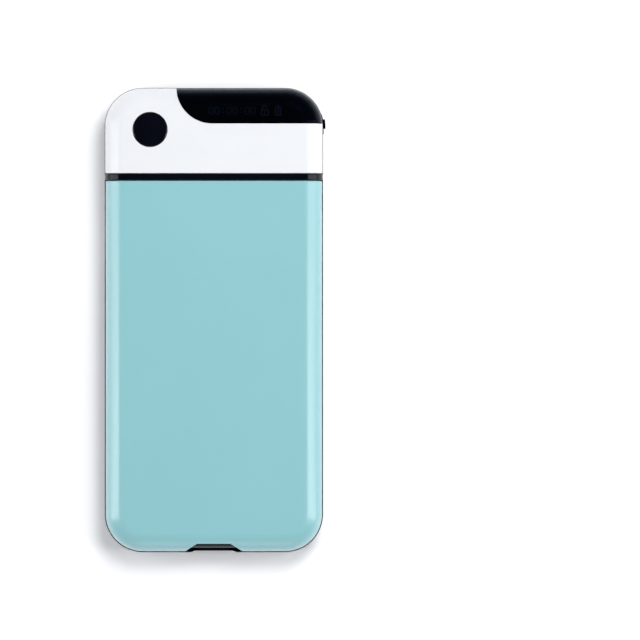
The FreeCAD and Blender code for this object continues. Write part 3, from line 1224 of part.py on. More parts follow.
def make_battery_lead(side):
    x = BATTERY_SOCKET_X + side * LEAD_SPACING / 2
    front_y = PCB_LOW_Y - 2 * LEAD_RADIUS
    battery_z = BATTERY_BOTTOM + BATTERY_THICKNESS / 2
    socket_z = PCB_TOP + SOCKET_HEIGHT / 2
    points = [
        Vector(x, BATTERY_LOW_Y, battery_z),
        Vector(x, front_y, battery_z),
        Vector(x, front_y, socket_z),
        Vector(x, PCB_LOW_Y + SOCKET_SETBACK, socket_z),
    ]
    return wire_lead(points, BATTERY_LEAD_BEND)


def make_motor_lead(side):
    """Lead that leaves the can's end, bends back beside it and ends in its socket."""
    x = MOTOR_SOCKET_X + side * LEAD_SPACING / 2
    turn_x = MOTOR_END_X + MOTOR_LEAD_OUTREACH
    front_y = PCB_LOW_Y - 2 * LEAD_RADIUS
    z = PCB_TOP + SOCKET_HEIGHT / 2 + side * LEAD_SPACING / 2
    points = [
        Vector(MOTOR_END_X, PINION_Y + MOTOR_CAN_RADIUS / 2, z),
        Vector(turn_x, PINION_Y + MOTOR_CAN_RADIUS / 2, z),
        Vector(turn_x, front_y, z),
        Vector(x, front_y, z),
        Vector(x, PCB_LOW_Y + SOCKET_SETBACK, z),
    ]
    return wire_lead(points, MOTOR_LEAD_BEND)


def make_lid_sensor():
    return box(MAGNET_X - SENSOR_WIDTH / 2, MAGNET_X + SENSOR_WIDTH / 2, BAND_HIGH,
               BAND_HIGH + SENSOR_THICKNESS, SENSOR_LOW, SENSOR_LOW + SENSOR_HEIGHT)


def make_sensor_lead():
    x = MAGNET_X + SENSOR_LEAD_OFFSET
    z = SENSOR_LOW + SENSOR_HEIGHT / 2
    landing_y = PCB_LOW_Y + SENSOR_LEAD_FROM_EDGE
    points = [
        Vector(x, BAND_HIGH + SENSOR_THICKNESS, z),
        Vector(x, landing_y, z),
        Vector(x, landing_y, PCB_TOP),
    ]
    return wire_lead(points, SENSOR_LEAD_BEND, SENSOR_LEAD_RADIUS)


def make_bolt_switch():
    low_y = PCB_LOW_Y + BOLT_SWITCH_SETBACK
    body = box(PINION_X - BOLT_SWITCH_WIDTH / 2, PINION_X + BOLT_SWITCH_WIDTH / 2, low_y,
               low_y + BOLT_SWITCH_LENGTH, PCB_TOP, PCB_TOP + BOLT_SWITCH_HEIGHT)
    nub = rod_y(BOLT_SWITCH_NUB_RADIUS, RACK_TAIL_END + BOLT_SWITCH_GAP,
                low_y + BOLT_SWITCH_NUB_ROOT, PINION_X,
                PCB_TOP + BOLT_SWITCH_HEIGHT - BOLT_SWITCH_NUB_DROP)
    return body.fuse(nub).removeSplitter()


# ---------------------------------------------------------------- export
def group(maker, places):
    return Part.makeCompound([maker(place) for place in places])


def all_nodes():
    return {
        "base_tray": make_base_tray(),
        "floor_pad": make_floor_pad(),
        "case_screws": group(make_case_screw, CASE_SCREW_PLACES),
        "screw_plugs": group(make_screw_plug, CASE_SCREW_PLACES),
        "head_cover": make_head_cover(),
        "display_window": make_display_window(),
        "oled_panel": make_oled_panel(),
        "oled_carrier": make_oled_carrier(),
        "display_flex": make_display_flex(),
        "main_pcb": make_main_pcb(),
        "pcb_screws": group(make_pcb_screw, PCB_SCREW_PLACES),
        "controller_chip": make_controller_chip(),
        "buzzer": make_buzzer(),
        "main_switch": make_main_switch(),
        "main_switch_plunger": make_main_switch_plunger(),
        "side_switch": make_side_switch(),
        "side_switch_plunger": make_side_switch_plunger(),
        "usb_socket": make_usb_socket(),
        "battery": make_battery(),
        "battery_tape": make_battery_tape(),
        "lead_sockets": group(make_lead_socket, (BATTERY_SOCKET_X, MOTOR_SOCKET_X)),
        "battery_leads": mirrored_pair(make_battery_lead),
        "motor_leads": mirrored_pair(make_motor_lead),
        "lid_sensor": make_lid_sensor(),
        "sensor_lead": make_sensor_lead(),
        "bolt_switch": make_bolt_switch(),
        "motor_gearbox": make_motor_gearbox(),
        "motor_can": make_motor_can(),
        "motor_shaft": make_motor_shaft(),
        "drive_pinion": make_drive_pinion(),
        "motor_bracket": make_motor_bracket(),
        "bracket_screws": group(make_bracket_screw, bracket_screw_places()),
        "latch_plate": make_latch_plate(),
        "latch_guide_screws": mirrored_pair(make_guide_screw),
        "main_button": make_main_button(),
        "side_key": make_side_key(),
        "lid_shell": make_lid_shell(),
        "lid_pad": make_lid_pad(),
        "strike_plate": make_strike_plate(),
        "strike_screws": mirrored_pair(make_strike_screw),
        "lid_magnet": make_lid_magnet(),
        "hinge_pin": make_hinge_pin(),
    }


def main():
    os.makedirs("parts", exist_ok=True)
    for name, shape in all_nodes().items():
        shape.exportStep(f"parts/{name}.step")
        print(f"{name}: {len(shape.Solids)} solids, {shape.Volume:.1f} mm3, valid {shape.isValid()}")


main()
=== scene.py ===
"""Timed lock case: finishes, foam pads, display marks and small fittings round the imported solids.

Everything is in metres in the frame of the solids: the case lies on its back, +X right, +Y towards
the head with the display, +Z out of the front. The file is laid out as an add-on and is run as a
script.
"""

import functools
import json
import math

import bmesh
import bpy
from bpy.props import FloatProperty, FloatVectorProperty, IntProperty, PointerProperty
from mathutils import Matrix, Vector


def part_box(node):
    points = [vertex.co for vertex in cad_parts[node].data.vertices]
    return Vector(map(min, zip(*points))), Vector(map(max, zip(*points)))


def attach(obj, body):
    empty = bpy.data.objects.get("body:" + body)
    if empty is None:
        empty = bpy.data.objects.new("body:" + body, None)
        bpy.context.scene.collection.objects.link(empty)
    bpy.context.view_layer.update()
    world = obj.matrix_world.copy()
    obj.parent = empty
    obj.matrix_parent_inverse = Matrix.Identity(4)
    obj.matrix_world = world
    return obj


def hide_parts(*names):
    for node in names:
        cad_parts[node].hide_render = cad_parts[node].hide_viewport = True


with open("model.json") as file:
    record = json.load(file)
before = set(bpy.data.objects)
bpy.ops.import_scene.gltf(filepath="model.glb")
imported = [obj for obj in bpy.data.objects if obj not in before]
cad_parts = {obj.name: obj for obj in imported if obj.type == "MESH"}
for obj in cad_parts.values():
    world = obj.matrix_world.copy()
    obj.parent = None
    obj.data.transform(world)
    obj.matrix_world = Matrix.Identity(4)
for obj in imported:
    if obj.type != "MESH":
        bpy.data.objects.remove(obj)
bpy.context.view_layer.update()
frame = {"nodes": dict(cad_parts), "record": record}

bl_info = {
    "name": "Timed Lock Case",
    "version": (1, 0, 0),
    "blender": (4, 5, 0),
    "location": "3D View > Sidebar > Lock Case",
    "description": "Finishes, foam pads, display marks and fittings of a timed lock case",
    "category": "Object",
}

MM = 0.001
SAME_PLACE = 1e-6  # places nearer to each other than this count as one
SMOOTH_ANGLE = math.radians(32)  # edges that turn more than this stay crisp

# middles of the plugs on the back, in millimetres: two at the bulkhead, two at the head end
PLUG_PLACES = ((42.2, 70.2), (-42.2, 70.2), (-34.5, 95.5), (36.2, 84.4))

TABLE_SIZE = 6.0
TABLE_DROP = 0.1 * MM  # keeps the table clear of the back of the case
SOFTBOX_SIDES = (("right", 0.7, 0.57, 0.98), ("left", -0.76, 0.48, 0.92))  # name, x, z, height
SOFTBOX_FOOT, SOFTBOX_HEAD = (-0.14, 0.18), (0.09, 0.28)  # y, length along the case
REFLECTOR_PLACE, REFLECTOR_SIZE = (0.0, -0.8, 0.3), (0.5, 0.4)
KEY_PLACE, KEY_SIZE = (0.215, 0.43, 1.0), (0.34, 0.52)
ROOM_SHADES = ((0.05, "#f1f5fb"), (0.35, "#8d9aad"), (0.9, "#1d2530"))  # horizon, walls, ceiling
NEAREST_SEEN, FARTHEST_SEEN = 0.01, 20.0  # the camera's clip distances


# ---------------------------------------------------------------- colours and nodes
def linear(hex_colour):
    """Linear colour of an sRGB hex value such as #93cacf."""
    channels = [int(hex_colour[i:i + 2], 16) / 255 for i in (1, 3, 5)]
    return [c / 12.92 if c <= 0.04045 else ((c + 0.055) / 1.055) ** 2.4 for c in channels] + [1.0]


def tones(low, high):
    """Two close tones from hex values."""
    return linear(low), linear(high)


def tones_of(colour, lift):
    """A colour setting with a slightly lighter tone of it."""
    return [*colour, 1.0], [min(1.0, channel * lift) for channel in colour] + [1.0]


def per_mm(size):
    """Texture scale whose features repeat about every size millimetres."""
    return 1.0 / (size * MM)


def add_node(tree, kind, inputs=None, **settings):
    """Adds a node with its settings; an input is a value or the socket that feeds it."""
    made = tree.nodes.new(kind)
    for name, value in settings.items():
        setattr(made, name, value)
    for socket, value in (inputs or {}).items():
        if isinstance(value, bpy.types.NodeSocket):
            tree.links.new(value, made.inputs[socket])
        else:
            made.inputs[socket].default_value = value
    return made


def new_finish(name, **shader_inputs):
    """Material with one Principled shader, its plain inputs set on the shader's own sockets."""
    material = bpy.data.materials.new(name)
    material.use_nodes = True
    tree = material.node_tree
    shader = tree.nodes["Principled BSDF"]
    for socket, value in shader_inputs.items():
        shader.inputs[socket.replace("_", " ")].default_value = value
    return material, tree, shader


def object_place(tree, stretch=(1, 1, 1)):
    """Object coordinates, stretched for a pattern that runs one way."""
    place = add_node(tree, "ShaderNodeTexCoord").outputs["Object"]
    mapping = add_node(tree, "ShaderNodeMapping", {"Vector": place, "Scale": stretch})
    return mapping.outputs["Vector"]


def tone_along(tree, shader, pattern, pair, stops=(0.0, 1.0), socket="Base Color"):
    """Colour that runs from one tone to the other between two levels of a pattern."""
    ramp = add_node(tree, "ShaderNodeValToRGB", {"Fac": pattern})
    for stop, level, colour in zip(ramp.color_ramp.elements, stops, pair):
        stop.position, stop.color = level, colour
    tree.links.new(ramp.outputs["Color"], shader.inputs[socket])


def mottle(tree, shader, place, pair, size):
    """Colour that drifts between two close tones over patches of size millimetres."""
    patches = add_node(tree, "ShaderNodeTexNoise",
                       {"Vector": place, "Scale": per_mm(size), "Detail": 3.0})
    tone_along(tree, shader, patches.outputs["Fac"], pair, stops=(0.35, 0.65))


def uneven_gloss(tree, shader, place, low, high, size):
    """Roughness that drifts over size millimetres, as handling and moulding leave it."""
    patches = add_node(tree, "ShaderNodeTexNoise",
                       {"Vector": place, "Scale": per_mm(size), "Detail": 4.0})
    level = add_node(tree, "ShaderNodeMapRange",
                     {"Value": patches.outputs["Fac"], "From Min": 0.3, "From Max": 0.7,
                      "To Min": low, "To Max": high})
    tree.links.new(level.outputs["Result"], shader.inputs["Roughness"])


def relief(tree, shader, height, depth, strength=1.0, below=None):
    """Bump of the given depth in millimetres from a height pattern, over another bump if given."""
    inputs = {"Height": height, "Distance": depth * MM, "Strength": strength}
    if below is not None:
        inputs["Normal"] = below.outputs["Normal"]
    bump = add_node(tree, "ShaderNodeBump", inputs)
    tree.links.new(bump.outputs["Normal"], shader.inputs["Normal"])
    return bump


def moulded_finish(name, pair, gloss, grain, depth, **shader_inputs):
    """Moulded plastic: close tones over 18 mm, drifting gloss and a fine tool texture."""
    material, tree, shader = new_finish(name, **shader_inputs)
    place = object_place(tree)
    mottle(tree, shader, place, pair, size=18)
    uneven_gloss(tree, shader, place, *gloss, size=7)
    texture = add_node(tree, "ShaderNodeTexNoise",
                       {"Vector": place, "Scale": per_mm(grain), "Detail": 2.0})
    relief(tree, shader, texture.outputs["Fac"], depth)
    return material


def metal_finish(name, pair, gloss, stretch, line, depth):
    """Metal with marks across the long axis of stretch, line millimetres apart."""
    material, tree, shader = new_finish(name, Metallic=1.0)
    place = object_place(tree, stretch)
    mottle(tree, shader, place, pair, size=4 * line)
    uneven_gloss(tree, shader, place, *gloss, size=2 * line)
    marks = add_node(tree, "ShaderNodeTexNoise",
                     {"Vector": place, "Scale": per_mm(line), "Detail": 5.0})
    relief(tree, shader, marks.outputs["Fac"], depth)
    return material


# ---------------------------------------------------------------- finishes
def polished_navy_tray_abs():
    """ABS moulded in dark navy; the tool is polished, so its edges catch a sharp light."""
    pair = tones_of(bpy.context.scene.lock_case_colours.tray, 1.35)
    return moulded_finish("polished_navy_tray_abs", pair,
                          gloss=(0.1, 0.18), grain=0.9, depth=0.002, IOR=1.36)


def lacquered_teal_abs():
    """ABS sprayed pale teal under clear lacquer: soft colour, crisp gloss, slight orange peel."""
    material, tree, shader = new_finish("lacquered_teal_abs", IOR=1.5, Coat_Weight=1.0,
                                        Coat_Roughness=0.22, Coat_IOR=1.5)
    place = object_place(tree)
    mottle(tree, shader, place, tones_of(bpy.context.scene.lock_case_colours.lid, 1.015), size=30)
    uneven_gloss(tree, shader, place, 0.36, 0.4, size=14)
    peel = add_node(tree, "ShaderNodeTexNoise",
                    {"Vector": place, "Scale": per_mm(1.8), "Detail": 1.0})
    under = relief(tree, shader, peel.outputs["Fac"], depth=0.006)
    speckle = add_node(tree, "ShaderNodeTexNoise",
                       {"Vector": place, "Scale": per_mm(0.25), "Detail": 2.0})
    relief(tree, shader, speckle.outputs["Fac"], depth=0.0015, below=under)
    return material


def gloss_white_abs():
    """ABS moulded in cool white from a polished tool."""
    pair = tones_of(bpy.context.scene.lock_case_colours.head, 1.02)
    return moulded_finish("gloss_white_abs", pair,
                          gloss=(0.18, 0.26), grain=1.6, depth=0.004, IOR=1.53)


def smoked_cast_acrylic():
    """Cast acrylic dyed almost black: lit marks show through; a hard coat cuts its reflections."""
    material, tree, shader = new_finish("smoked_cast_acrylic", IOR=1.25, Transmission_Weight=0.9,
                                        Specular_Tint=linear("#5f86c0"))
    place = object_place(tree)
    mottle(tree, shader, place, tones("#0b1119", "#0e151e"), size=25)
    uneven_gloss(tree, shader, place, 0.02, 0.05, size=5)
    swirl = add_node(tree, "ShaderNodeTexNoise",
                     {"Vector": place, "Scale": per_mm(6), "Detail": 1.0})
    relief(tree, shader, swirl.outputs["Fac"], depth=0.003)
    return material


def polished_navy_abs():
    """ABS buttons from a polished tool, navy close to black."""
    pair = tones_of(bpy.context.scene.lock_case_colours.buttons, 1.5)
    return moulded_finish("polished_navy_abs", pair,
                          gloss=(0.12, 0.2), grain=1.2, depth=0.003,
                          IOR=1.53, Coat_Weight=0.5, Coat_Roughness=0.05)


def closed_cell_foam():
    """EVA foam with a skin of small closed cells: dry, dark grey, soft sheen at the edges; painted
    shade darkens the hollows of the cells.
    """
    material, tree, shader = new_finish("closed_cell_foam", IOR=1.45, Sheen_Weight=0.25,
                                        Sheen_Roughness=0.5)
    place = object_place(tree)
    # the real cells are 0.2 mm; they are drawn at 0.9 mm so that they show
    cells = add_node(tree, "ShaderNodeTexVoronoi", {"Vector": place, "Scale": per_mm(0.9)},
                     feature="SMOOTH_F1")
    # painted shade: each cell is coloured darkest in its hollow and lighter towards its raised rim,
    # following the height of its bump
    pair = tones_of(bpy.context.scene.lock_case_colours.foam, 2.3)
    tone_along(tree, shader, cells.outputs["Distance"], pair, stops=(0.1, 0.75))
    uneven_gloss(tree, shader, place, 0.8, 0.92, size=3)
    under = relief(tree, shader, cells.outputs["Distance"], depth=0.25, strength=0.8)
    fuzz = add_node(tree, "ShaderNodeTexNoise",
                    {"Vector": place, "Scale": per_mm(0.4), "Detail": 3.0})
    relief(tree, shader, fuzz.outputs["Fac"], depth=0.05, strength=0.5, below=under)
    return material


def zinc_plated_steel():
    """Pressed steel with a clear zinc plate: blue grey, cloudy, fine scratches."""
    return metal_finish("zinc_plated_steel", tones("#b3b7bb", "#c2c5c8"),
                        gloss=(0.28, 0.36), stretch=(1, 1, 1), line=0.8, depth=0.0015)


def ground_steel_rod():
    """Steel rod ground round: rings of fine lines across X."""
    return metal_finish("ground_steel_rod", tones("#b5b6b8", "#cbccce"),
                        gloss=(0.12, 0.24), stretch=(6, 1, 1), line=0.6, depth=0.002)


def bright_nickel():
    """Drawn steel with bright nickel: slightly warm, nearly a mirror."""
    return metal_finish("bright_nickel", tones("#bdb9b0", "#cfcbc2"),
                        gloss=(0.08, 0.18), stretch=(1, 4, 1), line=1.2, depth=0.0015)


def tumbled_cast_zinc():
    """Die-cast zinc, tumbled: dull grey with a faint pebbled skin."""
    return metal_finish("tumbled_cast_zinc", tones("#8b8d90", "#9fa1a4"),
                        gloss=(0.38, 0.52), stretch=(1, 1, 1), line=0.5, depth=0.01)


def machined_brass():
    """Brass from the lathe: yellow, fine turning marks across X."""
    return metal_finish("machined_brass", tones("#c09845", "#cfa957"),
                        gloss=(0.2, 0.28), stretch=(8, 1, 1), line=0.4, depth=0.0015)


def gold_flash():
    """Copper contacts with a flash of gold: warm, smooth, faintly worn."""
    return metal_finish("gold_flash", tones("#d9a441", "#e8bd63"),
                        gloss=(0.14, 0.26), stretch=(1, 1, 1), line=0.3, depth=0.001)


def silicone_rubber():
    """Black silicone rubber: no gloss, a trace of dust."""
    return moulded_finish("silicone_rubber", tones("#141416", "#1d1d20"),
                          gloss=(0.62, 0.78), grain=0.5, depth=0.012, IOR=1.41)


def oled_cover_glass():
    """Glass over an unlit display: black, mirror smooth, with the faint blue of its layers."""
    return moulded_finish("oled_cover_glass", tones("#06080c", "#090c13"),
                          gloss=(0.03, 0.06), grain=5, depth=0.0005, IOR=1.52)


def textured_black_abs():
    """ABS moulded black with a fine matt texture."""
    return moulded_finish("textured_black_abs", tones("#101113", "#17181b"),
                          gloss=(0.42, 0.56), grain=0.6, depth=0.01, IOR=1.53)


def amber_polyimide():
    """Polyimide ribbon: clear amber over copper tracks 0.4 mm apart."""
    material, tree, shader = new_finish("amber_polyimide", IOR=1.7)
    place = object_place(tree)
    tracks = add_node(tree, "ShaderNodeTexWave",
                      {"Vector": place, "Scale": per_mm(0.4) / math.tau, "Distortion": 0.0},
                      bands_direction="X")
    tone_along(tree, shader, tracks.outputs["Fac"], tones("#8a4a12", "#b8702a"))
    uneven_gloss(tree, shader, place, 0.2, 0.34, size=2)
    relief(tree, shader, tracks.outputs["Fac"], depth=0.01)
    return material


def green_solder_mask():
    """Glass-epoxy board under green solder mask: copper tracks show as lighter, raised lines."""
    material, tree, shader = new_finish("green_solder_mask", IOR=1.55)
    place = object_place(tree)
    tracks = add_node(tree, "ShaderNodeTexBrick",
                      {"Vector": place, "Scale": per_mm(1.0), "Brick Width": 9.0,
                       "Row Height": 0.9, "Mortar Size": 0.14, "Color1": linear("#14532f"),
                       "Color2": linear("#175a34"), "Mortar": linear("#2f7d4d")},
                      offset=0.37, offset_frequency=2)
    tree.links.new(tracks.outputs["Color"], shader.inputs["Base Color"])
    uneven_gloss(tree, shader, place, 0.22, 0.36, size=3)
    relief(tree, shader, tracks.outputs["Fac"], depth=0.03)
    return material


def moulded_epoxy():
    """Component bodies in filled epoxy: dull near-black with a sandy skin."""
    return moulded_finish("moulded_epoxy", tones("#17181a", "#222326"),
                          gloss=(0.48, 0.62), grain=0.3, depth=0.015, IOR=1.56)


def aluminium_pouch_laminate():
    """Aluminium laminate of a pouch cell: soft silver with shallow creases."""
    material, tree, shader = new_finish("aluminium_pouch_laminate", Metallic=1.0)
    place = object_place(tree)
    mottle(tree, shader, place, tones("#b4b6b8", "#c9cbcd"), size=9)
    uneven_gloss(tree, shader, place, 0.28, 0.4, size=4)
    creases = add_node(tree, "ShaderNodeTexNoise",
                       {"Vector": place, "Scale": per_mm(5), "Detail": 3.0, "Distortion": 0.8})
    relief(tree, shader, creases.outputs["Fac"], depth=0.12, strength=0.7)
    return material


def natural_nylon():
    """Unfilled nylon connector housings: cream, waxy."""
    return moulded_finish("natural_nylon", tones("#d8ceb6", "#e3dac4"),
                          gloss=(0.36, 0.5), grain=0.5, depth=0.008, IOR=1.53)


def red_pvc():
    """PVC insulation of thin hook-up wire."""
    return moulded_finish("red_pvc", tones("#7d1416", "#951c1d"),
                          gloss=(0.3, 0.42), grain=0.6, depth=0.006, IOR=1.53)


def lit_display_marks(glow):
    """Organic light-emitting dots seen at low drive: pale blue white with an uneven glow."""
    material, tree, shader = new_finish("lit_display_marks", Roughness=0.4, Emission_Strength=glow)
    place = object_place(tree)
    mottle(tree, shader, place, tones("#1a2230", "#242d3c"), size=3)
    drift = add_node(tree, "ShaderNodeTexNoise",
                     {"Vector": place, "Scale": per_mm(4), "Detail": 1.0})
    tone_along(tree, shader, drift.outputs["Fac"], tones("#8fb4dc", "#cfe2f7"),
               socket="Emission Color")
    return material


def lit_opal_acrylic(glow):
    """Opal acrylic table lit from below: white, matt, and bright enough to soften shadows."""
    material, tree, shader = new_finish("lit_opal_acrylic", IOR=1.4, Emission_Strength=glow,
                                        Emission_Color=linear("#ffffff"))
    place = object_place(tree)
    mottle(tree, shader, place, tones("#f6f6f7", "#f8f8f8"), size=60)
    uneven_gloss(tree, shader, place, 0.8, 0.9, size=20)
    tooth = add_node(tree, "ShaderNodeTexNoise",
                     {"Vector": place, "Scale": per_mm(1.5), "Detail": 2.0})
    relief(tree, shader, tooth.outputs["Fac"], depth=0.01)
    return material


FINISHES = {
    "navy_abs": polished_navy_tray_abs, "teal_abs": lacquered_teal_abs,
    "white_abs": gloss_white_abs, "smoked_acrylic": smoked_cast_acrylic,
    "navy_gloss": polished_navy_abs, "black_abs": textured_black_abs,
    "grey_foam": closed_cell_foam, "black_rubber": silicone_rubber,
    "zinc_steel": zinc_plated_steel, "ground_steel": ground_steel_rod,
    "nickel_steel": bright_nickel, "cast_zinc": tumbled_cast_zinc,
    "brass_plate": machined_brass, "display_glass": oled_cover_glass,
    "polyimide": amber_polyimide, "green_fr4": green_solder_mask,
    "epoxy_black": moulded_epoxy, "pouch_foil": aluminium_pouch_laminate,
    "cream_nylon": natural_nylon, "lead_insulation": red_pvc,
}


@functools.cache
def finish_for(slot):
    """The material of a slot of the record, made once."""
    return FINISHES[slot]()


# ---------------------------------------------------------------- modelling helpers
def start_block(name, low, high):
    """Box between two corners, in edit mode with nothing selected."""
    bpy.ops.object.select_all(action="DESELECT")
    bpy.ops.mesh.primitive_cube_add(size=1)
    piece = bpy.context.object
    piece.name = piece.data.name = name
    low, high = Vector(low), Vector(high)
    bpy.ops.object.mode_set(mode="EDIT")
    bpy.ops.transform.resize(value=high - low)
    bpy.ops.transform.translate(value=(low + high) / 2)
    bpy.ops.mesh.select_all(action="DESELECT")
    return piece


def start_disc(name, centre, radius, depth, sides):
    """Upright cylinder whose top face is at centre, in edit mode with nothing selected."""
    bpy.ops.object.select_all(action="DESELECT")
    bpy.ops.mesh.primitive_cylinder_add(vertices=sides, radius=radius, depth=depth)
    piece = bpy.context.object
    piece.name = piece.data.name = name
    bpy.ops.object.mode_set(mode="EDIT")
    bpy.ops.transform.translate(value=Vector(centre) - Vector((0, 0, depth / 2)))
    bpy.ops.mesh.select_all(action="DESELECT")
    return piece


def select(kind, test):
    """Selects the faces, edges or vertices of the mesh being edited that pass the test."""
    bpy.ops.mesh.select_mode(type={"faces": "FACE", "edges": "EDGE", "verts": "VERT"}[kind])
    bpy.ops.mesh.select_all(action="DESELECT")
    mesh = bmesh.from_edit_mesh(bpy.context.object.data)
    for element in getattr(mesh, kind):
        if test(element):
            element.select_set(True)
    bmesh.update_edit_mesh(bpy.context.object.data)


def middle(element):
    """Middle of an edge or a face."""
    return sum((vert.co for vert in element.verts), Vector()) / len(element.verts)


def is_upright(edge):
    """Tells whether an edge runs straight up."""
    a, b = (vert.co for vert in edge.verts)
    return abs(a.x - b.x) + abs(a.y - b.y) < SAME_PLACE


def facing(axis, side):
    """Test for faces that look along an axis, forwards for side 1 and backwards for side -1."""
    return lambda face: getattr(face.normal, axis) * side > 0.5


def rounded(share):
    """Profile of a quarter circle, steep at 0 and level at 1."""
    return math.sqrt(1 - (1 - share) ** 2)


def eased(share):
    """Profile of a soft step, level at 0 and at 1."""
    return share * share * (3 - 2 * share)


def crowned(share):
    """Profile of a flat dome, which is level at 1 only."""
    return math.sin(share * math.pi / 2)


def apply_modifier(piece, kind, **settings):
    """Adds a modifier with its settings and applies it."""
    bpy.context.view_layer.objects.active = piece
    bpy.ops.object.modifier_add(type=kind)
    modifier = piece.modifiers[-1]
    for name, value in settings.items():
        setattr(modifier, name, value)
    bpy.ops.object.modifier_apply(modifier=modifier.name)


def hollow_plate(corner, line):
    """Rounds the corners of the plate being edited and opens it to a frame of one line's width."""
    select("edges", is_upright)
    bpy.ops.mesh.bevel(offset=corner, segments=5)
    select("faces", lambda face: abs(face.normal.z) > 0.5)
    bpy.ops.mesh.inset(thickness=line)
    bpy.ops.mesh.bridge_edge_loops()


def shift_piece(piece, shift):
    """Moves the mesh of a piece, so that the piece itself stays at the origin."""
    edit_all(piece)
    bpy.ops.transform.translate(value=shift)
    bpy.ops.object.mode_set(mode="OBJECT")


def turn_piece(piece, angle, axis):
    """Turns the mesh about the origin; with no window open a positive angle turns it backwards."""
    edit_all(piece)
    bpy.ops.transform.rotate(value=angle, orient_axis=axis, center_override=(0, 0, 0))
    bpy.ops.object.mode_set(mode="OBJECT")


def select_only(piece):
    """Makes the piece the active object and the only one selected."""
    bpy.ops.object.select_all(action="DESELECT")
    piece.select_set(True)
    bpy.context.view_layer.objects.active = piece


def edit_all(piece):
    """Enters edit mode on a piece with its whole mesh selected."""
    select_only(piece)
    bpy.ops.object.mode_set(mode="EDIT")
    bpy.ops.mesh.select_all(action="SELECT")


def copy_piece(piece):
    """Copy of a piece with a mesh of its own."""
    select_only(piece)
    bpy.ops.object.duplicate()
    return bpy.context.object


def join(piece, *others):
    """Joins the others into the first piece, which keeps its name."""
    select_only(piece)
    for other in others:
        other.select_set(True)
    bpy.ops.object.join()
    return piece


def complete(piece, body, slot, material=None, replaced=()):
    """Smooths a piece, gives it its finish and hands it to its body."""
    select_only(piece)
    bpy.ops.object.shade_smooth_by_angle(angle=SMOOTH_ANGLE)
    piece.data.materials.clear()
    piece.data.materials.append(material or finish_for(slot))
    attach(piece, body)
    if replaced:
        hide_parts(*replaced)


# ---------------------------------------------------------------- settings
def colour_setting(name, description, hex_colour):
    """Colour property whose default is an sRGB hex value."""
    return FloatVectorProperty(name=name, description=description, default=linear(hex_colour)[:3],
                               size=3, min=0.0, max=1.0, subtype="COLOR")


def length_setting(name, description, millimetres):
    """Length property whose default is given in millimetres."""
    return FloatProperty(name=name, description=description, default=millimetres * MM,
                         unit="LENGTH")


def place_setting(name, description, *millimetres):
    """Place property whose default is given in millimetres."""
    return FloatVectorProperty(name=name, description=description, size=len(millimetres),
                               default=[value * MM for value in millimetres], unit="LENGTH")


def light_setting(name, description, strength):
    """Brightness property, which stays at zero or above."""
    return FloatProperty(name=name, description=description, default=strength, min=0.0)


class LockCaseColours(bpy.types.PropertyGroup):
    """Colours of the outer pieces and the foam."""
    tray: colour_setting("Tray", "Colour of the moulded tray", "#04070f")
    lid: colour_setting("Lid", "Colour of the lid's lacquer", "#88bbbf")
    head: colour_setting("Head cover", "Colour of the moulded head cover", "#dcddde")
    buttons: colour_setting("Buttons", "Colour of the round button and the side key", "#04050b")
    # the foam's darkest tone is the painted shade in the hollows of its cells
    foam: colour_setting("Foam", "Darkest tone of the foam pads", "#25272d")


class LockCasePads(bpy.types.PropertyGroup):
    """Shape of the two foam pads."""
    floor_corner: length_setting("Floor pad corner", "Corner radius of the floor pad", 11.4)
    lid_corner: length_setting("Lid pad corner", "Corner radius of the lid pad", 8.1)
    edge_round: length_setting("Edge round", "Radius of the cut outer edge", 0.2)
    border: length_setting("Border", "Width of the pressed rim of a pad", 4.0)
    slope: length_setting("Slope", "Width of the step between rim and field", 2.4)
    pressed: FloatProperty(name="Pressed depth",
                           description="Share of the thickness that the rim loses",
                           default=0.42, min=0.0, max=0.7, subtype="FACTOR")
    crown: FloatProperty(name="Crown",
                         description="Share of the thickness by which the middle swells",
                         default=0.1, min=0.0, max=0.2, subtype="FACTOR")


class LockCaseDisplay(bpy.types.PropertyGroup):
    """Marks under the smoked window."""
    pitch: length_setting("Dot pitch", "Distance between the display's dots", 0.4426)
    dot: length_setting("Dot size", "Width of one lit dot", 0.38)
    thickness: length_setting("Thickness", "Thickness of the lit layer", 0.03)
    line: length_setting("Line", "Line width of the padlock and battery signs", 0.42)
    start: place_setting("Start", "Lower left corner of the first digit", -2.2, 91.53)
    padlock: place_setting("Padlock", "Lower left corner of the padlock sign", 21.0, 91.03)
    battery: place_setting("Battery", "Lower left corner of the battery sign", 27.2, 91.0)
    glow: light_setting("Glow", "Brightness of the lit dots", 2.0)


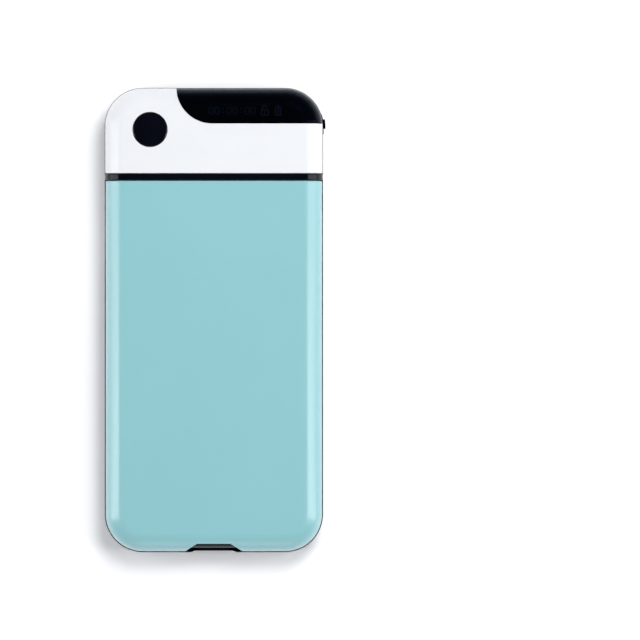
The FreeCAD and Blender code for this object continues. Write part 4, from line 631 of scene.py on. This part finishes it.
class LockCaseFittings(bpy.types.PropertyGroup):
    """Sizes of the screws, plugs and contacts."""
    head_height: length_setting("Head height", "Height of a strike screw's head", 0.9)
    head_edge: length_setting("Head edge", "Bevel round the top of a screw's head", 0.3)
    recess_reach: length_setting("Recess reach", "From a screw's middle to an arm's end", 0.9)
    recess_width: length_setting("Recess width", "Width of the cross recess's arms", 0.4)
    recess_depth: length_setting("Recess depth", "Depth of the cross recess", 0.55)
    shank_radius: length_setting("Shank radius", "Radius of a strike screw's thread", 0.8)
    thread_pitch: length_setting("Thread pitch", "Distance between the thread's ridges", 0.5)
    plug_radius: length_setting("Plug radius", "Radius of a rubber plug", 2.4)
    plug_edge: length_setting("Plug edge", "Bevel round a plug's outer face", 0.22)
    plug_lip: length_setting("Plug lip", "Width of the flat rim of a plug", 0.5)
    tongue_tip: place_setting("Tongue tip", "Middle of the tongue's upper front edge",
                              9.0, 102.1, 14.15)
    tongue_width: length_setting("Tongue width", "Width of the socket's tongue", 6.6)
    tongue_length: length_setting("Tongue length", "Length of the tongue that is skinned", 6.2)
    tongue_thickness: length_setting("Tongue thickness", "Thickness of the socket's tongue", 0.7)
    skin: length_setting("Skin", "Thickness of the moulding round the tongue", 0.04)
    skin_edge: length_setting("Skin edge", "Bevel of the moulding's front edges", 0.12)
    contact_count: IntProperty(name="Contacts", description="Contacts on each side of the tongue",
                               default=8, min=1)
    contact_pitch: length_setting("Contact pitch", "Distance between the contacts", 0.75)
    contact_width: length_setting("Contact width", "Width of one contact", 0.36)
    contact_length: length_setting("Contact length", "Length of one contact", 3.4)
    contact_height: length_setting("Contact height", "Height of a contact over the moulding", 0.03)
    contact_setback: length_setting("Contact setback", "From the tongue's tip to a contact", 0.5)


class LockCaseStudio(bpy.types.PropertyGroup):
    """Brightness of the table and the lights, and the camera."""
    camera_place: FloatVectorProperty(name="Camera place", description="Point the camera stands at",
                                      default=(0.0473, 0.0, 3.5), subtype="TRANSLATION")
    view_width: length_setting("View width", "Width seen at the height of the seam", 285.36)
    table_glow: light_setting("Table glow", "Light that the table itself gives", 0.15)
    side_light: light_setting("Side light", "Radiance of the softboxes at the foot end", 4.4)
    fill_light: light_setting("Fill light", "Radiance of the softboxes at the head end", 2.2)
    foot_light: light_setting("Foot light", "Radiance of the reflector at the foot end", 1.0)
    key_light: light_setting("Key light", "Radiance of the light overhead, unseen in gloss", 14.9)
    room_light: light_setting("Room light", "Brightness of the room at the horizon", 0.8)


# ---------------------------------------------------------------- operators
class LOCK_CASE_OT_stage(bpy.types.Operator):
    """Add the table, the room, the lights and the camera"""
    bl_idname = "lock_case.add_stage"
    bl_label = "Stage"

    def execute(self, context):
        studio = context.scene.lock_case_studio
        self.add_table(studio.table_glow)
        self.light_room(context.scene, studio.room_light)
        ends = (("foot", *SOFTBOX_FOOT, studio.side_light),
                ("head", *SOFTBOX_HEAD, studio.fill_light))
        for side, x, z, height in SOFTBOX_SIDES:
            for end, y, length, radiance in ends:
                self.add_light(f"{side}_{end}_softbox", (x, y, z), (length, height), radiance)
        self.add_light("foot_reflector", REFLECTOR_PLACE, REFLECTOR_SIZE, studio.foot_light)
        key = self.add_light("key_light", KEY_PLACE, KEY_SIZE, studio.key_light)
        key.visible_glossy = False
        self.add_camera(context.scene, studio)
        return {"FINISHED"}

    def add_table(self, glow):
        """Wide light table just under the case."""
        bpy.ops.object.select_all(action="DESELECT")
        bpy.ops.mesh.primitive_plane_add(size=TABLE_SIZE, location=(0, 0, -TABLE_DROP))
        table = bpy.context.object
        table.name = table.data.name = "light_table"
        table.data.materials.append(lit_opal_acrylic(glow))

    def light_room(self, scene, strength):
        """Dim bluish walls and a dark ceiling, so flat glossy faces stay dark from above."""
        room = bpy.data.worlds.new("studio_room")
        scene.world = room
        room.use_nodes = True
        tree = room.node_tree
        direction = add_node(tree, "ShaderNodeTexCoord").outputs["Generated"]
        height = add_node(tree, "ShaderNodeSeparateXYZ", {"Vector": direction}).outputs["Z"]
        ramp = add_node(tree, "ShaderNodeValToRGB", {"Fac": height})
        ramp.color_ramp.elements.new(ROOM_SHADES[1][0])
        for stop, (level, colour) in zip(ramp.color_ramp.elements, ROOM_SHADES):
            stop.position, stop.color = level, linear(colour)
        background = tree.nodes["Background"]
        background.inputs["Strength"].default_value = strength
        tree.links.new(ramp.outputs["Color"], background.inputs["Color"])

    def add_light(self, name, place, size, radiance):
        """Rectangular light that faces the case; size runs along the case, then up."""
        bpy.ops.object.light_add(type="AREA", location=place)
        light = bpy.context.object
        light.name = light.data.name = name
        light.rotation_euler = (-Vector(place)).to_track_quat("-Z", "Y").to_euler()
        light.data.shape = "RECTANGLE"
        light.data.size, light.data.size_y = size
        light.data.energy = math.pi * radiance * size[0] * size[1]
        return light

    def add_camera(self, scene, studio):
        """Camera that looks straight down and shows the set width at the height of the seam."""
        bpy.ops.object.camera_add(location=studio.camera_place, rotation=(0, 0, 0))
        camera = bpy.context.object
        camera.name = camera.data.name = "overhead_camera"
        seam_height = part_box("lid_shell")[0].z
        distance = studio.camera_place[2] - seam_height
        camera.data.lens = camera.data.sensor_width * distance / studio.view_width
        camera.data.clip_start, camera.data.clip_end = NEAREST_SEEN, FARTHEST_SEEN
        scene.camera = camera
        scene.view_settings.view_transform = "Standard"


class LOCK_CASE_OT_finishes(bpy.types.Operator):
    """Give every solid of the case the finish of its material slot"""
    bl_idname = "lock_case.apply_finishes"
    bl_label = "Finishes"

    def execute(self, context):
        for part in frame["record"]["subparts"]:
            node = frame["nodes"][part["node"]]
            node.data.materials.clear()
            node.data.materials.append(finish_for(part["material_slot"]))
        return {"FINISHED"}


class LOCK_CASE_OT_pads(bpy.types.Operator):
    """Model the foam pads of the bay floor and of the lid"""
    bl_idname = "lock_case.add_pads"
    bl_label = "Foam pads"

    def execute(self, context):
        pads = context.scene.lock_case_pads
        for node, name, body, corner, up in (
                ("floor_pad", "bay_floor_pad", "base", pads.floor_corner, True),
                ("lid_pad", "lid_lining_pad", "lid", pads.lid_corner, False)):
            pad = self.model_pad(name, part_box(node), corner, pads, up)
            complete(pad, body, "grey_foam", replaced=(node,))
        return {"FINISHED"}

    def model_pad(self, name, box, corner, pads, up):
        """Foam sheet with round corners, a rim pressed thin and a soft step up to its field."""
        low, high = box
        thickness = high.z - low.z
        step = pads.pressed * thickness
        crown = pads.crown * thickness
        rim_height = thickness - step - crown - pads.edge_round
        if up:
            high.z = low.z + rim_height
        else:
            low.z = high.z - rim_height
        pad = start_block(name, low, high)
        select("edges", is_upright)
        bpy.ops.mesh.bevel(offset=corner, segments=10)
        side = 1 if up else -1
        select("faces", facing("z", side))
        self.climb(pads.edge_round, pads.edge_round, rounded)
        bpy.ops.mesh.inset(thickness=pads.border)
        self.climb(pads.slope, step, eased)
        self.swell(side * crown)
        bpy.ops.object.mode_set(mode="OBJECT")
        return pad

    def climb(self, run, rise, profile, steps=6):
        """Insets the selected face inwards by run while it rises along a profile."""
        for i in range(steps):
            gain = profile((i + 1) / steps) - profile(i / steps)
            bpy.ops.mesh.inset(thickness=run / steps, depth=rise * gain)

    def swell(self, crown, steps=5, shrink=0.9):
        """Shrinks the selected field step by step while it rises to a slight crown."""
        for i in range(steps):
            last, share = i / steps, (i + 1) / steps
            scale = (1 - shrink * share) / (1 - shrink * last)
            bpy.ops.mesh.extrude_region_move()
            bpy.ops.transform.resize(value=(scale, scale, 1))
            gain = crowned(share) - crowned(last)
            bpy.ops.transform.translate(value=(0, 0, crown * gain))


class LOCK_CASE_OT_display(bpy.types.Operator):
    """Model the lit digits, padlock and battery signs of the display"""
    bl_idname = "lock_case.add_display_marks"
    bl_label = "Display marks"

    def execute(self, context):
        marks = context.scene.lock_case_display
        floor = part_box("oled_panel")[1].z
        lit = lit_display_marks(marks.glow)
        for model in (self.model_digits, self.model_padlock, self.model_battery):
            complete(model(marks, floor), "base", "display_glass", lit)
        return {"FINISHED"}

    def model_digits(self, marks, floor):
        """Six dot-matrix zeros with two colons, all copies of one dot."""
        right, top = 4, 7  # last column and last row of a zero
        ring = [(0, row) for row in range(1, top)] + [(column, top) for column in range(1, right)]
        ring += [(right, row) for row in range(top - 1, 0, -1)]
        ring += [(column, 0) for column in range(right - 1, 0, -1)]
        digit_columns, colon_columns, colon_rows = (0, 6, 18, 24, 36, 42), (14, 32), (1, 2, 5, 6)
        colon = [(column, row) for column in colon_columns for row in colon_rows]
        digits = self.start_dot("timer_digits", marks, floor, ring[0])
        self.copy_along(marks, ring)
        self.copy_along(marks, [(column, 0) for column in digit_columns])
        bpy.ops.object.mode_set(mode="OBJECT")
        colons = self.start_dot("timer_colons", marks, floor, colon[0])
        self.copy_along(marks, colon)
        bpy.ops.object.mode_set(mode="OBJECT")
        return join(digits, colons)

    def start_dot(self, name, marks, floor, cell):
        """Lit dot in a cell of the display, in edit mode."""
        x = marks.start[0] + cell[0] * marks.pitch
        y = marks.start[1] + cell[1] * marks.pitch
        return start_block(name, (x, y, floor),
                           (x + marks.dot, y + marks.dot, floor + marks.thickness))

    def copy_along(self, marks, cells):
        """Copies the mesh being edited from the first cell to each of the others."""
        bpy.ops.mesh.select_all(action="SELECT")
        for last, cell in zip(cells, cells[1:]):
            bpy.ops.mesh.duplicate()
            shift = ((cell[0] - last[0]) * marks.pitch, (cell[1] - last[1]) * marks.pitch, 0)
            bpy.ops.transform.translate(value=shift)

    def model_padlock(self, marks, floor):
        """Outline padlock with its shackle open at the right, and a keyhole."""
        x, y = marks.padlock
        top = floor + marks.thickness
        line = marks.line
        width, height, corner = 3.5 * MM, 2.8 * MM, 0.4 * MM
        leg_inset, leg_height = 0.5 * MM, 0.6 * MM
        hole_radius, hole_height = 0.36 * MM, 1.6 * MM
        slit_width, slit_low, slit_high = 0.3 * MM, 0.8 * MM, 1.4 * MM
        centre_x, bend_y = x + width / 2, y + height + leg_height
        body = start_block("padlock_body", (x, y, floor), (x + width, y + height, top))
        hollow_plate(corner, line)
        bpy.ops.object.mode_set(mode="OBJECT")
        shackle = start_block("padlock_shackle", (x + leg_inset, y + height, floor),
                              (x + leg_inset + line, bend_y, top))
        select("faces", facing("y", 1))
        bpy.ops.mesh.spin(steps=12, angle=math.pi, axis=(0, 0, 1), center=(centre_x, bend_y, floor))
        bpy.ops.object.mode_set(mode="OBJECT")
        hole = start_disc("padlock_keyhole", (centre_x, y + hole_height, top), hole_radius,
                          marks.thickness, sides=16)
        bpy.ops.object.mode_set(mode="OBJECT")
        slit = start_block("padlock_slit", (centre_x - slit_width / 2, y + slit_low, floor),
                           (centre_x + slit_width / 2, y + slit_high, top))
        bpy.ops.object.mode_set(mode="OBJECT")
        return join(body, shackle, hole, slit)

    def model_battery(self, marks, floor):
        """Outline battery with its cap and a lightning bolt inside."""
        x, y = marks.battery
        top = floor + marks.thickness
        width, height, corner = 2.8 * MM, 4.0 * MM, 0.5 * MM
        cap_width, cap_low, cap_high = 1.0 * MM, 4.15 * MM, 4.5 * MM
        bolt_inset, upper_height, lower_height = 0.95 * MM, 1.9 * MM, 0.8 * MM
        body = start_block("battery_body", (x, y, floor), (x + width, y + height, top))
        hollow_plate(corner, marks.line)
        bpy.ops.object.mode_set(mode="OBJECT")
        cap = start_block("battery_cap", (x + (width - cap_width) / 2, y + cap_low, floor),
                          (x + (width + cap_width) / 2, y + cap_high, top))
        bpy.ops.object.mode_set(mode="OBJECT")
        upper = self.leaning_bar("bolt_upper", (x + bolt_inset, y + upper_height, floor), top)
        lower = self.leaning_bar("bolt_lower", (x + bolt_inset, y + lower_height, floor), top)
        return join(body, cap, upper, lower)

    def leaning_bar(self, name, corner, top):
        """Half of the lightning bolt: a bar that leans to the right."""
        x, y, floor = corner
        width, height, lean = 0.45 * MM, 1.3 * MM, 0.5 * MM
        bar = start_block(name, corner, (x + width, y + height, top))
        select("verts", lambda vert: vert.co.y > y + height / 2)
        bpy.ops.transform.translate(value=(lean, 0, 0))
        bpy.ops.object.mode_set(mode="OBJECT")
        return bar


class LOCK_CASE_OT_strike_screws(bpy.types.Operator):
    """Model the two cross-recess screws of the strike plate"""
    bl_idname = "lock_case.add_strike_screws"
    bl_label = "Strike screws"

    def execute(self, context):
        fittings = context.scene.lock_case_fittings
        low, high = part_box("strike_screws")
        radius = (high.z - low.z) / 2
        centre_z = (high.z + low.z) / 2
        screw = self.model_screw(fittings, radius, high.y - low.y)
        turn_piece(screw, -math.pi / 2, "X")
        shift_piece(screw, (low.x + radius, low.y, centre_z))
        other = copy_piece(screw)
        shift_piece(other, (high.x - low.x - 2 * radius, 0, 0))
        complete(join(screw, other), "lid", "zinc_steel", replaced=("strike_screws",))
        return {"FINISHED"}

    def model_screw(self, fittings, radius, length):
        """Screw that stands on its tip, with its head's top at the origin."""
        root, tip, recess_floor = 0.8, 0.6, 0.7  # shares of the width that are left
        cutter_top = 0.2 * MM
        screw = start_disc("strike_plate_screws", (0, 0, 0), radius, fittings.head_height, sides=32)
        select("faces", facing("z", -1))
        bpy.ops.mesh.inset(thickness=radius - fittings.shank_radius)
        pitch = fittings.thread_pitch
        turns = int((length - fittings.head_height) / pitch)
        for _ in range(turns):
            self.grow(pitch / 2, root)
            self.grow(pitch / 2, 1 / root)
        self.grow(length - fittings.head_height - turns * pitch, tip)
        select("faces", facing("z", 1))
        bpy.ops.mesh.bevel(offset=fittings.head_edge, segments=4)
        bpy.ops.object.mode_set(mode="OBJECT")
        reach, half = fittings.recess_reach, fittings.recess_width / 2
        for x, y in ((reach, half), (half, reach)):
            cutter = start_block("cross_recess", (-x, -y, -fittings.recess_depth),
                                 (x, y, cutter_top))
            select("faces", facing("z", -1))
            bpy.ops.transform.resize(value=(recess_floor, recess_floor, 1))
            bpy.ops.object.mode_set(mode="OBJECT")
            apply_modifier(screw, "BOOLEAN", object=cutter, operation="DIFFERENCE", solver="EXACT")
            bpy.data.objects.remove(cutter)
        return screw

    def grow(self, length, scale):
        """Extrudes the selected end face down by length and scales it."""
        bpy.ops.mesh.extrude_region_move(TRANSFORM_OT_translate={"value": (0, 0, -length)})
        bpy.ops.transform.resize(value=(scale, scale, 1))


class LOCK_CASE_OT_screw_plugs(bpy.types.Operator):
    """Model the rubber plugs over the case screws"""
    bl_idname = "lock_case.add_screw_plugs"
    bl_label = "Screw plugs"

    def execute(self, context):
        low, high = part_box("screw_plugs")
        fittings = context.scene.lock_case_fittings
        plug = self.model_plug(fittings, high.z - low.z)
        plugs = [plug] + [copy_piece(plug) for _ in PLUG_PLACES[1:]]
        for piece, (x, y) in zip(plugs, PLUG_PLACES):
            shift_piece(piece, (x * MM, y * MM, 0))
        complete(join(*plugs), "base", "black_rubber", replaced=("screw_plugs",))
        return {"FINISHED"}

    def model_plug(self, fittings, height):
        """Rubber disc on the back at the origin, with a rounded lip and a dished outer face."""
        radius = fittings.plug_radius
        dish = ((0.35 * MM, 0.16 * MM), (0.6 * MM, 0.08 * MM))  # width and depth of its two slopes
        plug = start_disc("rubber_screw_plugs", (0, 0, height), radius, height, sides=40)
        select("faces", facing("z", -1))
        bpy.ops.mesh.inset(thickness=fittings.plug_lip)
        for width, depth in dish:
            bpy.ops.mesh.inset(thickness=width, depth=-depth)
        select("edges", lambda edge: all(vert.co.z < SAME_PLACE
                                         and vert.co.xy.length > radius - SAME_PLACE
                                         for vert in edge.verts))
        bpy.ops.mesh.bevel(offset=fittings.plug_edge, segments=3)
        bpy.ops.object.mode_set(mode="OBJECT")
        return plug


class LOCK_CASE_OT_socket_tongue(bpy.types.Operator):
    """Model the plastic skin of the charging socket's tongue and the gold contacts on it"""
    bl_idname = "lock_case.add_socket_tongue"
    bl_label = "Socket tongue"

    def execute(self, context):
        fittings = context.scene.lock_case_fittings
        complete(self.model_skin(fittings), "base", "black_abs")
        complete(self.model_contacts(fittings), "base", "brass_plate", gold_flash())
        return {"FINISHED"}

    def model_skin(self, fittings):
        """Thin black moulding round the tongue, with its front edges eased."""
        x, y, z = fittings.tongue_tip
        half = fittings.tongue_width / 2 + fittings.skin
        low = (x - half, y - fittings.tongue_length, z - fittings.tongue_thickness - fittings.skin)
        high = (x + half, y + fittings.skin, z + fittings.skin)
        skin = start_block("socket_tongue_skin", low, high)
        select("edges", lambda edge: middle(edge).y > y and not is_upright(edge))
        bpy.ops.mesh.bevel(offset=fittings.skin_edge, segments=3)
        bpy.ops.object.mode_set(mode="OBJECT")
        return skin

    def model_contacts(self, fittings):
        """One contact, copied across the tongue and then to its other side."""
        count = fittings.contact_count
        x, y, z = fittings.tongue_tip
        high_y = y - fittings.contact_setback
        low_y = high_y - fittings.contact_length
        low_z = z + fittings.skin
        first = x - (count - 1) / 2 * fittings.contact_pitch
        half = fittings.contact_width / 2
        contacts = start_block("socket_contacts", (first - half, low_y, low_z),
                               (first + half, high_y, low_z + fittings.contact_height))
        bpy.ops.mesh.select_all(action="SELECT")
        for _ in range(count - 1):
            bpy.ops.mesh.duplicate()
            bpy.ops.transform.translate(value=(fittings.contact_pitch, 0, 0))
        bpy.ops.mesh.select_all(action="SELECT")
        bpy.ops.mesh.duplicate()
        drop = fittings.tongue_thickness + 2 * fittings.skin + fittings.contact_height
        bpy.ops.transform.translate(value=(0, 0, -drop))
        bpy.ops.object.mode_set(mode="OBJECT")
        return contacts


class LOCK_CASE_PT_panel(bpy.types.Panel):
    """Panel with a button for each group of pieces and the settings of all groups"""
    bl_label = "Timed Lock Case"
    bl_space_type = "VIEW_3D"
    bl_region_type = "UI"
    bl_category = "Lock Case"

    def draw(self, context):
        for operator in OPERATORS:
            self.layout.operator(operator.bl_idname)
        for name, settings in SETTINGS.items():
            box = self.layout.box()
            for setting in settings.__annotations__:
                box.prop(getattr(context.scene, name), setting)


SETTINGS = {"lock_case_colours": LockCaseColours, "lock_case_pads": LockCasePads,
            "lock_case_display": LockCaseDisplay, "lock_case_fittings": LockCaseFittings,
            "lock_case_studio": LockCaseStudio}
OPERATORS = (LOCK_CASE_OT_stage, LOCK_CASE_OT_finishes, LOCK_CASE_OT_pads, LOCK_CASE_OT_display,
             LOCK_CASE_OT_strike_screws, LOCK_CASE_OT_screw_plugs, LOCK_CASE_OT_socket_tongue)


def register():
    """Makes the settings, the operators and the panel known."""
    for settings in SETTINGS.values():
        bpy.utils.register_class(settings)
    for name, settings in SETTINGS.items():
        setattr(bpy.types.Scene, name, PointerProperty(type=settings))
    for operator in OPERATORS:
        bpy.utils.register_class(operator)
    bpy.utils.register_class(LOCK_CASE_PT_panel)


def unregister():
    """Takes back what register has made known."""
    bpy.utils.unregister_class(LOCK_CASE_PT_panel)
    for operator in reversed(OPERATORS):
        bpy.utils.unregister_class(operator)
    for name in SETTINGS:
        delattr(bpy.types.Scene, name)
    for settings in reversed(tuple(SETTINGS.values())):
        bpy.utils.unregister_class(settings)


def main():
    """Builds the scene in order."""
    register()
    bpy.ops.lock_case.add_stage()
    bpy.ops.lock_case.apply_finishes()
    bpy.ops.lock_case.add_pads()
    bpy.ops.lock_case.add_display_marks()
    bpy.ops.lock_case.add_strike_screws()
    bpy.ops.lock_case.add_screw_plugs()
    bpy.ops.lock_case.add_socket_tongue()


if __name__ == "__main__":
    main()
